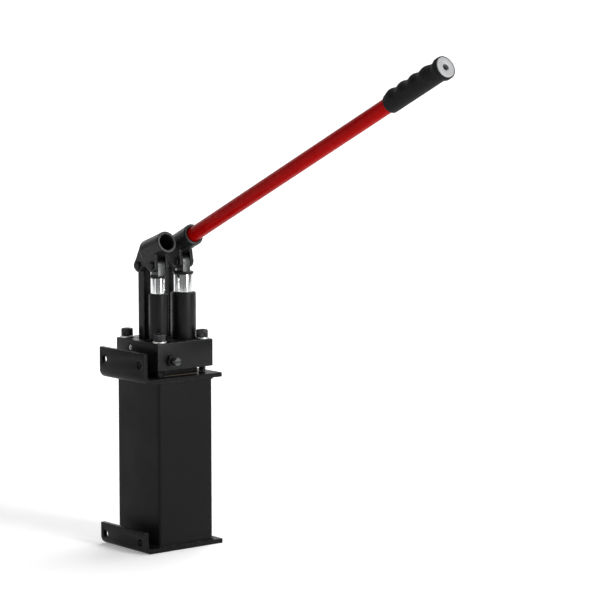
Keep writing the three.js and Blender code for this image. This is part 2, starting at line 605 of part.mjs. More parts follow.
function buildHandle(unit, leverGroup) {
  const inserted = unit.socketLength - socket.backWall - SEAT;
  const group = new THREE.Group();
  group.position.set(0, -socket.behind - unit.socketLength, socket.rise);
  group.rotation.x = Math.PI / 2; // the group's +Z runs out of the socket along the lever's -Y
  leverGroup.add(group);
  const tubeEnd = handle.exposed - endCap.thickness;
  const tubeStart = [0, 0, -inserted];
  const tube = ring(handle.radius, handle.radius - handle.wall, tubeEnd + inserted, 'z', tubeStart, 32);
  piece('handle_tube', redPaint, tube, group);

  const start = handle.exposed - grip.length;
  const bore = handle.radius + RUN;
  const outline = [[bore, 0], [grip.radius, 0]];
  const stepsPerBump = 4;
  const ribbed = grip.length - grip.endLength - grip.neck - 4;
  for (let i = 0; i <= grip.bumps * stepsPerBump; i += 1) {
    const wave = 0.5 - 0.5 * Math.cos((2 * Math.PI * i) / stepsPerBump);
    outline.push([grip.radius + grip.bump * wave, 2 + (ribbed * i) / (grip.bumps * stepsPerBump)]);
  }
  const recess = endCap.thickness;
  outline.push([grip.radius, grip.length - grip.endLength - 2]);
  outline.push([grip.endRadius, grip.length - grip.endLength], [grip.endRadius, grip.length - 1]);
  outline.push([grip.endRadius - 1, grip.length], [endCap.radius + FIT, grip.length]);
  outline.push([endCap.radius + FIT, grip.length - recess], [bore, grip.length - recess]);
  piece('handle_grip', rubber, turned(outline, 'z', [0, 0, start], 24), group);

  const cap = join(
    cylinder(endCap.radius, endCap.thickness - SEAT / 2, 'z', [0, 0, tubeEnd + SEAT / 2], 32),
    cylinder(handle.radius - handle.wall - FIT, endCap.plug, 'z', [0, 0, tubeEnd - endCap.plug + 1], 24),
  );
  const hole = cylinder(endCap.hole, 12, 'z', [0, 0, handle.exposed - 8], 20);
  piece('handle_end_cap', greyCap, cut(cap, hole), group);
}

// ---- Assembly -----------------------------------------------------------------------------------

buildTank();
buildSpacer();
buildSuction();
buildBlock();
buildBolts();
buildValves();
buildRelease();
for (const unit of pumps) {
  buildBarrel(unit);
  buildPlunger(unit);
  buildLink(unit);
  const lever = buildLever(unit);
  if (unit.side === 'right') buildHandle(unit, lever);
}

export default pump;
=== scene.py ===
"""Looks for a two-stage hydraulic hand pump, built round its packed design model.

Each group of pieces has its own operator. Sizes are in metres. Places come from the design model's
nodes and joints, so a piece always sits where the design says.
"""

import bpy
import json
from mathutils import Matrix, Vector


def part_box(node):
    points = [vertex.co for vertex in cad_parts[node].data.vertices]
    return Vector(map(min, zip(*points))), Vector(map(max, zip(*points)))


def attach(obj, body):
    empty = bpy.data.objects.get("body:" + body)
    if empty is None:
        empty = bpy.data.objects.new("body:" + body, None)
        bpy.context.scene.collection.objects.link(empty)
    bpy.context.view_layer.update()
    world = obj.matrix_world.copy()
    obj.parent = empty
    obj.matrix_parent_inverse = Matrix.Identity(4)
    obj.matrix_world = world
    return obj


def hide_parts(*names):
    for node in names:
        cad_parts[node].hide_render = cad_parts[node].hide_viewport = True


bl_info = {
    "name": "Hydraulic Hand Pump",
    "version": (1, 0, 0),
    "blender": (4, 5, 0),
    "location": "View3D > Sidebar > Hand Pump",
    "description": "Builds the tank, block, plungers, levers and handle of a two-stage hydraulic hand pump",
    "category": "Object",
}

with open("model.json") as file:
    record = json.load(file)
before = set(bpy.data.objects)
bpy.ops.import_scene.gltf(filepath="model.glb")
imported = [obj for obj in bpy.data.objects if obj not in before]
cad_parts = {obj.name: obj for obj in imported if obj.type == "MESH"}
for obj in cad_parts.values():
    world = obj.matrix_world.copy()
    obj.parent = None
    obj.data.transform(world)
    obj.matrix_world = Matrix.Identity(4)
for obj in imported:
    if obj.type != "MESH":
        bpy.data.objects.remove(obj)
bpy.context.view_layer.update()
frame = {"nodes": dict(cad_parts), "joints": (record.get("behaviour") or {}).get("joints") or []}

import json
import math

import bmesh
import bpy
from bpy.props import FloatProperty, FloatVectorProperty, IntProperty, PointerProperty
from bpy.types import Operator, Panel, PropertyGroup
from mathutils import Matrix, Vector

JOINTS = {joint["name"]: joint for joint in frame["joints"]}
ROUND = 96  # segments round a large turned piece
SMALL = 48  # segments round a small one
FULL = 2 * math.pi
SIDES = ("left", "right")
BACK, RIGHT, UP = (0, 1, 0), (1, 0, 0), (0, 0, 1)
SIDEWAYS = Matrix((  # lays an outline in the plane of Y and Z, to be extruded towards +X
    (0, 0, 1, 0),
    (1, 0, 0, 0),
    (0, 1, 0, 0),
    (0, 0, 0, 1),
))


# ---- Places taken from the design model ---------------------------------------------------------


def corners_of(node):
    """The lowest and highest corner of a design node at rest, as vectors."""
    low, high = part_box(node)
    return Vector(low), Vector(high)


def middle_of(node):
    low, high = corners_of(node)
    return (low + high) / 2


def joint_place(name):
    return Vector(JOINTS[name]["pos_m"])


def nodes_named(start):
    """The design nodes whose names begin in one way, such as the four bolts."""
    return [name for name in frame["nodes"] if name.startswith(start)]


# ---- Mesh helpers -------------------------------------------------------------------------------


def new_object(name, mesh):
    made = bpy.data.objects.new(name, mesh)
    bpy.context.scene.collection.objects.link(made)
    return made


def object_from(name, bm, place=None):
    """Turns a bmesh into an object whose place is in its mesh, with its faces outwards."""
    bmesh.ops.remove_doubles(bm, verts=bm.verts, dist=1e-7)
    bmesh.ops.recalc_face_normals(bm, faces=bm.faces)
    if place is not None:
        bm.transform(place)
    mesh = bpy.data.meshes.new(name)
    bm.to_mesh(mesh)
    bm.free()
    return new_object(name, mesh)


def along(axis, at=(0, 0, 0)):
    """A matrix that lays a piece built along +Z on another axis, its start at a point."""
    turn = Vector((0, 0, 1)).rotation_difference(Vector(axis)).to_matrix().to_4x4()
    return Matrix.Translation(Vector(at)) @ turn


def softened(outline, radius, closed):
    """Rounds each corner of an outline of (radius, height) points with a short curve."""
    count = len(outline)
    points = []
    for i, corner in enumerate(outline):
        if not closed and i in (0, count - 1):
            points.append(Vector(corner))
            continue
        here = Vector(corner)
        before = Vector(outline[i - 1])
        after = Vector(outline[(i + 1) % count])
        reach = min(radius, 0.45 * (before - here).length, 0.45 * (after - here).length)
        start = here + reach * (before - here).normalized()
        end = here + reach * (after - here).normalized()
        for step in range(4):
            t = step / 3
            points.append((1 - t) ** 2 * start + 2 * t * (1 - t) * here + t**2 * end)
    return points


def turned(name, outline, place=None, soft=0.0003, segments=ROUND, ripple=None):
    """Turns an outline about +Z. An outline that leaves the axis free at both ends is a closed ring."""
    closed = outline[0][0] > 0 and outline[-1][0] > 0
    points = softened([Vector(p) for p in outline], soft, closed)
    bm = bmesh.new()
    rings = []
    for radius, height in points:
        if radius < 1e-9:
            rings.append([bm.verts.new((0, 0, height))])
            continue
        ring = []
        for k in range(segments):
            angle = FULL * k / segments
            r = radius + (ripple(angle, height, radius) if ripple else 0)
            ring.append(bm.verts.new((r * math.cos(angle), r * math.sin(angle), height)))
        rings.append(ring)
    pairs = list(zip(rings, rings[1:])) + ([(rings[-1], rings[0])] if closed else [])
    for low, high in pairs:
        for k in range(segments):
            n = (k + 1) % segments
            loop = [low[k % len(low)], low[n % len(low)], high[n % len(high)], high[k % len(high)]]
            loop = [v for i, v in enumerate(loop) if v not in loop[:i]]
            if len(loop) > 2:
                bm.faces.new(loop)
    return object_from(name, bm, place)


def prism(name, outline, length, place=None):
    """Extrudes a closed outline of (x, y) points along +Z."""
    bm = bmesh.new()
    low = [bm.verts.new((x, y, 0)) for x, y in outline]
    high = [bm.verts.new((x, y, length)) for x, y in outline]
    bm.faces.new(low)
    bm.faces.new(high)
    for k in range(len(low)):
        n = (k + 1) % len(low)
        bm.faces.new((low[k], low[n], high[n], high[k]))
    return object_from(name, bm, place)


def arc(centre, radius, start, end, steps):
    """Points on an arc, with its angles in degrees."""
    angles = [math.radians(start + (end - start) * k / steps) for k in range(steps + 1)]
    return [(centre[0] + radius * math.cos(a), centre[1] + radius * math.sin(a)) for a in angles]


def rounded_rectangle(width, depth, radius, steps=8):
    w, d = width / 2 - radius, depth / 2 - radius
    return (
        arc((w, -d), radius, -90, 0, steps)
        + arc((w, d), radius, 0, 90, steps)
        + arc((-w, d), radius, 90, 180, steps)
        + arc((-w, -d), radius, 180, 270, steps)
    )


def rod(name, radius, length, place, segments=SMALL):
    return prism(name, arc((0, 0), radius, 0, 360 * (1 - 1 / segments), segments - 1), length, place)


def block_between(name, low, high):
    width, depth, height = (b - a for a, b in zip(low, high))
    centre = ((low[0] + high[0]) / 2, (low[1] + high[1]) / 2, low[2])
    w, d = width / 2, depth / 2
    return prism(name, [(-w, -d), (w, -d), (w, d), (-w, d)], height, Matrix.Translation(centre))


def hexagon(corner):
    """The corners of a hexagon, from its radius over them."""
    return [(corner * math.cos(FULL * k / 6), corner * math.sin(FULL * k / 6)) for k in range(6)]


def chamfered(radius, span, chamfer, inner=0):
    """The outline of a plain round pin or tube with a chamfer at both ends."""
    return [
        (inner, 0), (radius - chamfer, 0), (radius, chamfer),
        (radius, span - chamfer), (radius - chamfer, span), (inner, span),
    ]


def square_ring(inner, outer, low, high):
    """The outline of a washer or ring with a rectangular section."""
    return [(inner, low), (outer, low), (outer, high), (inner, high)]


def settled(piece):
    """Replaces an object by a plain mesh of what its modifiers make, and keeps its name."""
    name = piece.name
    graph = bpy.context.evaluated_depsgraph_get()
    mesh = bpy.data.meshes.new_from_object(piece.evaluated_get(graph), depsgraph=graph)
    old = piece.data
    bpy.data.objects.remove(piece)
    if old is not None and old.users == 0:
        (bpy.data.meshes if isinstance(old, bpy.types.Mesh) else bpy.data.curves).remove(old)
    mesh.name = name
    return new_object(name, mesh)


def combined(base, others, operation="DIFFERENCE"):
    """Cuts the others out of the base, or joins them to it, with any finish of their own."""
    for other in others:
        modifier = base.modifiers.new("shape", "BOOLEAN")
        modifier.operation = operation
        modifier.solver = "EXACT"
        modifier.material_mode = "TRANSFER" if other.data.materials else "INDEX"
        modifier.object = other
    made = settled(base)
    for other in others:
        bpy.data.objects.remove(other)
    return made


def bevelled(piece, width, segments=3, angle=30):
    modifier = piece.modifiers.new("edges", "BEVEL")
    modifier.width = width
    modifier.segments = segments
    modifier.limit_method = "ANGLE"
    modifier.angle_limit = math.radians(angle)
    return settled(piece)


def dressed(piece, material, slot, body, *nodes, angle=35):
    """Gives a piece its finish if it has none, its shading and the body it rides on, and hides the nodes it
    stands for.
    """
    if not piece.data.materials:
        piece.data.materials.append(material)
    piece.data.shade_smooth()
    piece.data.set_sharp_from_angle(angle=math.radians(angle))
    if nodes:
        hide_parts(*nodes)
    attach(piece, body)
    return piece


def joined(name, pieces):
    """Puts several objects' meshes into one object, each keeping its own material."""
    bm = bmesh.new()
    materials = []
    for piece in pieces:
        start = len(bm.faces)
        bm.from_mesh(piece.data)
        bm.faces.ensure_lookup_table()
        for material in piece.data.materials:
            if material not in materials:
                materials.append(material)
        if piece.data.materials:
            index = materials.index(piece.data.materials[0])
            for face in bm.faces[start:]:
                face.material_index = index
    mesh = bpy.data.meshes.new(name)
    bm.to_mesh(mesh)
    bm.free()
    for material in materials:
        mesh.materials.append(material)
    for piece in pieces:
        bpy.data.objects.remove(piece)
    return new_object(name, mesh)


def hexagon_bar(name, flats, length, place, chamfer=0.0012):
    """A hexagonal bar whose corners are turned off at both ends."""
    corner = flats / math.sqrt(3)
    end, widest = flats / 2 * 0.97, corner + 0.0002
    bar = prism(name, hexagon(corner), length)
    outline = [(0, 0), (end, 0), (widest, chamfer), (widest, length - chamfer), (end, length), (0, length)]
    bar = combined(bar, [turned("turned_off", outline, soft=0.0001, segments=SMALL)], "INTERSECT")
    bar.data.transform(place)
    return bevelled(bar, 0.00025, 2)


# ---- Node helpers -------------------------------------------------------------------------------


def wire(tree, source, target):
    tree.links.new(source, target)


def added(tree, kind, **values):
    node = tree.nodes.new(kind)
    for name, value in values.items():
        setattr(node, name, value)
    return node


def filled(node, **inputs):
    """Sets a node's inputs by name, with underscores for spaces."""
    for name, value in inputs.items():
        node.inputs[name.replace("_", " ")].default_value = value
    return node


class Finish:
    """A procedural material on Object coordinates, with helpers for its patterns."""

    def __init__(self, name, colour, roughness, metallic=0.0, **sockets):
        self.material = bpy.data.materials.new("look_" + name)
        self.material.use_nodes = True
        self.material.diffuse_color = (*colour[:3], 1)
        self.tree = self.material.node_tree
        self.shader = self.tree.nodes["Principled BSDF"]
        self.colour = colour
        filled(self.shader, Base_Color=(*colour[:3], 1), Roughness=roughness, Metallic=metallic)
        filled(self.shader, **sockets)
        self.coordinates = added(self.tree, "ShaderNodeTexCoord").outputs["Object"]
        self.bump = None

    def moved(self, centre=(0, 0, 0), scale=(1, 1, 1), turn=(0, 0, 0)):
        """Object coordinates centred on a place, then turned and stretched."""
        first = added(self.tree, "ShaderNodeMapping")
        first.inputs["Location"].default_value = [-v for v in centre]
        second = added(self.tree, "ShaderNodeMapping")
        second.inputs["Rotation"].default_value = turn
        second.inputs["Scale"].default_value = scale
        wire(self.tree, self.coordinates, first.inputs["Vector"])
        wire(self.tree, first.outputs["Vector"], second.inputs["Vector"])
        return second.outputs["Vector"]

    def noise(self, scale, detail=3.0, roughness=0.5, vector=None):
        node = added(self.tree, "ShaderNodeTexNoise")
        filled(node, Scale=scale, Detail=detail, Roughness=roughness)
        wire(self.tree, vector or self.coordinates, node.inputs["Vector"])
        return node.outputs["Fac"]

    def cells(self, scale, vector=None, feature="F1"):
        node = added(self.tree, "ShaderNodeTexVoronoi", feature=feature)
        node.inputs["Scale"].default_value = scale
        wire(self.tree, vector or self.coordinates, node.inputs["Vector"])
        return node.outputs["Distance"]

    def ranged(self, source, low, high, to_low, to_high):
        node = added(self.tree, "ShaderNodeMapRange")
        filled(node, From_Min=low, From_Max=high, To_Min=to_low, To_Max=to_high)
        wire(self.tree, source, node.inputs["Value"])
        return node.outputs["Result"]

    def product(self, first, second):
        node = added(self.tree, "ShaderNodeMath", operation="MULTIPLY")
        wire(self.tree, first, node.inputs[0])
        wire(self.tree, second, node.inputs[1])
        return node.outputs[0]

    def distance_from_axis(self, vector):
        """How far a point is from the local Z axis."""
        split = added(self.tree, "ShaderNodeSeparateXYZ")
        flat = added(self.tree, "ShaderNodeCombineXYZ")
        size = added(self.tree, "ShaderNodeVectorMath", operation="LENGTH")
        wire(self.tree, vector, split.inputs[0])
        wire(self.tree, split.outputs["X"], flat.inputs["X"])
        wire(self.tree, split.outputs["Y"], flat.inputs["Y"])
        wire(self.tree, flat.outputs[0], size.inputs[0])
        return size.outputs["Value"]

    def edges(self, radius):
        """Bright on the edges of the piece, for rubbed paint."""
        bevel = added(self.tree, "ShaderNodeBevel", samples=6)
        bevel.inputs["Radius"].default_value = radius
        geometry = added(self.tree, "ShaderNodeNewGeometry")
        facing = added(self.tree, "ShaderNodeVectorMath", operation="DOT_PRODUCT")
        wire(self.tree, bevel.outputs["Normal"], facing.inputs[0])
        wire(self.tree, geometry.outputs["Normal"], facing.inputs[1])
        return self.ranged(facing.outputs["Value"], 0.995, 0.93, 0, 1)

    def mix_colour(self, factor, colour):
        """Mixes the base colour so far with another one."""
        node = added(self.tree, "ShaderNodeMix", data_type="RGBA")
        socket = self.shader.inputs["Base Color"]
        if socket.is_linked:
            wire(self.tree, socket.links[0].from_socket, node.inputs[6])
        else:
            node.inputs[6].default_value = socket.default_value
        node.inputs[7].default_value = (*colour, 1)
        wire(self.tree, factor, node.inputs[0])
        wire(self.tree, node.outputs[2], socket)
        return self

    def patches(self, scale, detail, low, high, share, colour):
        """Soft patches of another colour, where the noise is between low and high."""
        return self.mix_colour(self.ranged(self.noise(scale, detail), low, high, 0, share), colour)

    def worn_edges(self, radius, scale, detail, low, high, least, most, colour):
        """Another colour on the rubbed edges, broken up by noise."""
        broken = self.ranged(self.noise(scale, detail), low, high, least, most)
        return self.mix_colour(self.product(self.edges(radius), broken), colour)

    def rough(self, source):
        wire(self.tree, source, self.shader.inputs["Roughness"])
        return self

    def uneven_gloss(self, scale, detail, smoothest, roughest):
        return self.rough(self.ranged(self.noise(scale, detail), 0.3, 0.7, smoothest, roughest))

    def raised(self, source, distance, strength=1.0):
        """Adds a bump pattern on top of those so far."""
        node = added(self.tree, "ShaderNodeBump")
        filled(node, Strength=strength, Distance=distance)
        wire(self.tree, source, node.inputs["Height"])
        if self.bump is not None:
            wire(self.tree, self.bump, node.inputs["Normal"])
        self.bump = node.outputs["Normal"]
        wire(self.tree, self.bump, self.shader.inputs["Normal"])
        return self


# ---- Finishes -----------------------------------------------------------------------------------


def toned(colour, share):
    """A colour made lighter or darker."""
    return [share * value for value in colour]


def black_enamel(settings):
    """Satin black enamel on sheet steel: faint orange peel, dust and rubbed edges."""
    paint = Finish("black_enamel", settings.enamel, 0.42, Specular_IOR_Level=0.09)
    paint.patches(9.0, 4.0, 0.35, 0.75, 0.5, toned(settings.enamel, 1.5))
    dust = paint.ranged(paint.noise(900.0, 2.0, 0.8), 0.72, 0.8, 0.0, 0.2)
    paint.mix_colour(dust, (0.07, 0.07, 0.072))
    paint.worn_edges(0.0007, 150.0, 4.0, 0.45, 0.65, 0, 0.5, (0.14, 0.14, 0.145))
    paint.uneven_gloss(35.0, 5.0, 0.36, 0.5)
    return paint.raised(paint.noise(420.0, 2.0), 0.00005, 0.4).material


def blackened_steel(settings):
    """Chemically blackened steel with an oil film and pale rubbed edges."""
    steel = Finish("blackened_steel", settings.blackened, 0.36, metallic=0.2, Specular_IOR_Level=0.2)
    steel.patches(22.0, 5.0, 0.4, 0.75, 0.6, toned(settings.blackened, 1.7))
    steel.worn_edges(0.0007, 180.0, 4.0, 0.4, 0.62, 0.05, 0.8, (0.2, 0.2, 0.21))
    grain = steel.noise(60.0, 6.0, 0.6, steel.moved(scale=(1, 1, 9)))
    steel.rough(steel.ranged(grain, 0.3, 0.7, 0.28, 0.48))
    return steel.raised(steel.noise(700.0, 3.0), 0.00005, 0.35).material


def cast_black(settings):
    """Painted casting: a pebbled surface under black paint."""
    paint = Finish("cast_black", settings.casting, 0.34, Specular_IOR_Level=0.22)
    pits = paint.noise(230.0, 4.0, 0.6)
    paint.mix_colour(paint.ranged(pits, 0.45, 0.7, 0.0, 0.6), toned(settings.casting, 2.2))
    paint.worn_edges(0.0011, 300.0, 3.0, 0.42, 0.6, 0.0, 0.9, (0.24, 0.24, 0.25))
    paint.uneven_gloss(80.0, 3.0, 0.26, 0.44)
    return paint.raised(pits, 0.0003, 0.5).material


def zinc_plate(settings):
    """Bright zinc plating with a faint warm and blue tint and fine scratches."""
    zinc = Finish("zinc_plate", settings.zinc, 0.3, metallic=0.95)
    zinc.patches(60.0, 3.0, 0.4, 0.7, 0.5, (0.62, 0.58, 0.47))
    zinc.patches(45.0, 3.0, 0.55, 0.75, 0.5, (0.42, 0.5, 0.62))
    zinc.uneven_gloss(400.0, 4.0, 0.2, 0.42)
    return zinc.raised(zinc.noise(1500.0, 2.0), 0.00002, 0.4).material


def bare_steel(name, tone, smoothest, roughest, metallic=1.0):
    """Steel without a coating: darker stains, uneven gloss and a fine grain."""
    steel = Finish(name, tone, roughest, metallic=metallic)
    steel.patches(50.0, 4.0, 0.45, 0.8, 0.6, toned(tone, 0.5))
    steel.uneven_gloss(260.0, 5.0, smoothest, roughest)
    return steel.raised(steel.noise(900.0, 3.0), 0.00003, 0.35).material


def bright_steel(settings):
    """Turned steel, bare and lightly oiled."""
    return bare_steel("bright_steel", settings.steel, 0.2, 0.4)


def dull_steel(settings):
    """Machined steel gone grey with oil and age."""
    return bare_steel("dull_steel", settings.dull, 0.34, 0.52)


def faced_iron(settings):
    """The bare ring left where a casting is faced off, scuffed by putting the handle in."""
    return bare_steel("faced_iron", settings.faced, 0.42, 0.6, metallic=0.55)


def hard_chrome(settings):
    """Ground and polished hard chrome, with hair lines along the stroke and a trace of oil."""
    chrome = Finish("hard_chrome", settings.chrome, 0.07, metallic=1.0)
    lines = chrome.noise(900.0, 3.0, 0.5, chrome.moved(scale=(1, 1, 0.04)))
    chrome.rough(chrome.ranged(lines, 0.35, 0.75, 0.08, 0.16))
    chrome.patches(40.0, 3.0, 0.55, 0.8, 0.35, (0.45, 0.43, 0.38))
    return chrome.raised(lines, 0.000002, 0.1).material


def red_enamel(settings):
    """Deep red enamel on a drawn tube: slight orange peel, a few darker scuffs."""
    paint = Finish("red_enamel", settings.red, 0.36, Specular_IOR_Level=0.035)
    paint.patches(14.0, 4.0, 0.4, 0.75, 0.55, toned(settings.red, 0.72))
    scuffs = paint.noise(160.0, 5.0, 0.75, paint.moved(scale=(1, 0.25, 0.25)))
    paint.mix_colour(paint.ranged(scuffs, 0.68, 0.76, 0.0, 0.5), (0.06, 0.008, 0.008))
    paint.uneven_gloss(90.0, 3.0, 0.22, 0.36)
    return paint.raised(paint.noise(520.0, 2.0), 0.00005, 0.4).material


def grip_rubber(settings):
    """Matt moulded rubber with a pebble texture."""
    rubber = Finish(
        "grip_rubber", settings.rubber, 0.68, Specular_IOR_Level=0.12, Sheen_Weight=0.02, Sheen_Roughness=0.5,
    )
    rubber.patches(70.0, 4.0, 0.4, 0.75, 0.5, toned(settings.rubber, 1.8))
    rubber.uneven_gloss(200.0, 3.0, 0.6, 0.8)
    return rubber.raised(rubber.cells(900.0, feature="SMOOTH_F1"), 0.00018, 0.6).material


def turned_grey(settings, centre, direction):
    """Pale grey metal faced on a lathe, with fine rings about its own axis."""
    grey = Finish("turned_grey", settings.grey, 0.35, metallic=0.35)
    turn = Vector(direction).rotation_difference(Vector(UP)).to_euler()
    local = grey.moved(centre, turn=turn)
    rings = added(grey.tree, "ShaderNodeMath", operation="SINE")
    wire(grey.tree, grey.ranged(grey.distance_from_axis(local), 0.0, 0.01, 0.0, 75.0), rings.inputs[0])
    grey.uneven_gloss(300.0, 3.0, 0.28, 0.46)
    grey.patches(90.0, 4.0, 0.5, 0.8, 0.4, (0.4, 0.4, 0.39))
    return grey.raised(rings.outputs[0], 0.00003, 0.5).material


def gasket_fibre(settings):
    """Pressed fibre sheet with its threads showing."""
    fibre = Finish("gasket_fibre", settings.fibre, 0.85)
    threads = fibre.noise(700.0, 4.0, 0.7, fibre.moved(scale=(1, 0.3, 1)))
    fibre.mix_colour(fibre.ranged(threads, 0.4, 0.7, 0, 0.7), toned(settings.fibre, 0.5))
    return fibre.raised(threads, 0.0001, 0.6).material


def nitrile(settings):
    """Smooth black seal rubber."""
    rubber = Finish("nitrile_rubber", settings.rubber, 0.45)
    rubber.uneven_gloss(300.0, 3.0, 0.35, 0.55)
    return rubber.raised(rubber.noise(800.0), 0.00004, 0.4).material


def plain_brass(settings):
    """Turned brass, slightly browned."""
    brass = Finish("plain_brass", settings.brass, 0.3, metallic=1.0)
    brass.patches(80.0, 4.0, 0.45, 0.75, 0.6, (0.3, 0.19, 0.07))
    brass.uneven_gloss(300.0, 3.0, 0.22, 0.42)
    return brass.raised(brass.noise(900.0), 0.00003, 0.4).material


MATERIALS = {}


def finish(maker):
    """The material of a finish, made the first time that it is asked for."""
    if maker not in MATERIALS:
        MATERIALS[maker] = maker(bpy.context.scene.handpump_finishes)
    return MATERIALS[maker]


# ---- Settings -----------------------------------------------------------------------------------


def length(name, description, default):
    return FloatProperty(
        name=name, description=description, default=default, min=0.0, unit="LENGTH", precision=5,
    )


def degrees(name, description, default):
    return FloatProperty(name=name, description=f"{description}, in degrees", default=default)


def power(name, description, default):
    return FloatProperty(name=name, description=description, default=default, min=0.0, unit="POWER")


def colour(name, description, default):
    return FloatVectorProperty(
        name=name, description=description, default=default, subtype="COLOR", min=0.0, max=1.0,
    )


class HandPumpFinishes(PropertyGroup):
    """Colours of the finishes."""

    enamel: colour("Tank enamel", "Black paint of the tank and its plates", (0.0058, 0.0058, 0.0061))
    blackened: colour("Blackened steel", "Block, barrels, links, screws and pins", (0.0045, 0.0045, 0.0049))
    casting: colour("Casting paint", "Paint of the lever sockets", (0.0042, 0.0042, 0.0046))
    zinc: colour("Zinc plate", "Washers, filler plug and outlet adaptor", (0.55, 0.56, 0.57))
    steel: colour("Bright steel", "Small plugs, link anchor pins, balls and springs", (0.55, 0.55, 0.54))
    dull: colour("Dull steel", "Plunger heads and release spindle", (0.085, 0.088, 0.087))
    faced: colour("Faced iron", "Faced rims of the lever sockets", (0.05, 0.049, 0.05))
    chrome: colour("Hard chrome", "Plungers", (0.78, 0.79, 0.8))
    red: colour("Handle enamel", "Paint of the handle tube", (0.3, 0.0012, 0.0012))
    rubber: colour("Rubber", "Grip and seals", (0.0045, 0.0045, 0.0048))
    grey: colour("End cap", "Cap in the end of the grip", (0.34, 0.345, 0.35))
    fibre: colour("Gasket fibre", "Gaskets under the block", (0.075, 0.055, 0.04))
    brass: colour("Brass", "Strainer and filler washer", (0.55, 0.36, 0.12))


class HandPumpTank(PropertyGroup):
    """Sizes of the tank that the design model's boxes don't give."""

    wall: length("Wall", "Thickness of the tank's sheet", 0.0025)
    corner: length("Corner", "Bend radius of the tank's upright edges", 0.004)
    plate: length("Plate", "Thickness of the end plates", 0.006)
    bend: length("Flange bend", "Inner bend radius of the mounting flanges", 0.005)
    flange_hole: length("Flange hole", "Radius of the mounting holes", 0.0055)
    hole_spread: length("Hole spread", "Distance between a flange's two holes", 0.08)
    bead: length("Weld bead", "Radius of the weld beads round the tank", 0.0016)
    bead_pitch: length("Bead pitch", "Distance from ripple to ripple in a bead", 0.0019)
    edge: length("Edge", "Rounding of the plates' edges", 0.0006)
    low_hole: length("Lower holes", "Height of the lower flange's holes over the floor", 0.015)
    high_hole: length("Upper holes", "Height of the upper flange's holes over its plate", 0.02)
    screw_hole: length("Screw hole", "Radius of the block screws' holes in the head plate", 0.00525)
    pipe_hole: length("Pipe hole", "Radius of the suction pipe's hole in the head plate", 0.00625)
    filler_hole: length("Filler hole", "Radius of the filler plug's hole in the shell", 0.00825)
    filler_stem: length("Filler stem", "Radius of the filler plug's stem", 0.008)
    filler_key: length("Filler key", "Width over flats of the filler plug's hexagon socket", 0.008)
    filler_seal: length("Filler seal", "Inner radius of the filler plug's washer", 0.0083)


class HandPumpBlock(PropertyGroup):
    """Sizes of the pump block and its screws."""

    edge: length("Edge", "Chamfer of the block's edges", 0.0011)
    screw: length("Screw", "Radius of the block screws' shanks", 0.005)
    head: length("Screw head", "Height of the block screws' heads", 0.01)
    knurls: IntProperty(name="Knurls", description="Ridges round a screw head", default=40, min=12)
    knurl_depth: length("Knurl depth", "Depth of the ridges", 0.00028)
    thread_pitch: length("Thread pitch", "Pitch of the screw threads", 0.0015)
    socket: length("Screw socket", "Radius of the screws' hexagon sockets", 0.0046)
    spacer_wall: length("Spacer wall", "Wall of the spacer frame", 0.0045)
    spacer_corner: length("Spacer corner", "Corner radius of the spacer frame", 0.011)
    slot_width: length("Link slot", "Width of the slots that hold the links", 0.0126)
    slot_reach: length("Slot reach", "Half the length of a link's slot, front to back", 0.01)
    slot_below: length("Slot depth", "Depth of a link's slot below its pin", 0.0095)
    pin_hole: length("Pin hole", "Radius of the link pins' holes", 0.00425)
    fit: length("Fit", "Gap round a screw's shank in its hole", 0.00025)
    chamfer: length("Pin chamfer", "Chamfer at the ends of pins and plugs", 0.0006)
    plug_key: length("Plug key", "Half the width over flats of the small plugs' sockets", 0.0022)
    key_depth: length("Key depth", "Depth of the small plugs' sockets", 0.0035)
    rounding: length("Spacer edge", "Rounding of the spacer frame's edges", 0.0005)


class HandPumpFittings(PropertyGroup):
    """Sizes of the outlet adaptor and the release valve."""

    thread: length("Adaptor thread", "Radius of the adaptor's threads", 0.007)
    bore: length("Adaptor bore", "Radius of the oil way through the adaptor", 0.0025)
    hexagon: length("Adaptor hexagon", "Distance of the hexagon's end from the block", 0.0103)
    seat: length("Adaptor seat", "Gap between the hexagon and the block", 0.0003)
    pitch: length("Thread pitch", "Pitch of the adaptor's thread", 0.0014)
    gland_bore: length("Gland bore", "Radius of the gland nut's bore", 0.0041)
    head: length("Spindle head", "Length of the release spindle's head", 0.011)
    head_edge: length("Head chamfer", "Chamfer at the front of the spindle's head", 0.0007)
    stem: length("Spindle stem", "Radius of the spindle's stem", 0.0037)
    groove: length("Spindle groove", "Radius of the stem in the groove of its seal", 0.0032)
    tip: length("Spindle tip", "Length of the spindle's conical tip", 0.0048)
    slot: length("Driver slot", "Width of the slot in the spindle's head", 0.0024)
    slot_depth: length("Slot depth", "Depth of the slot in the spindle's head", 0.004)


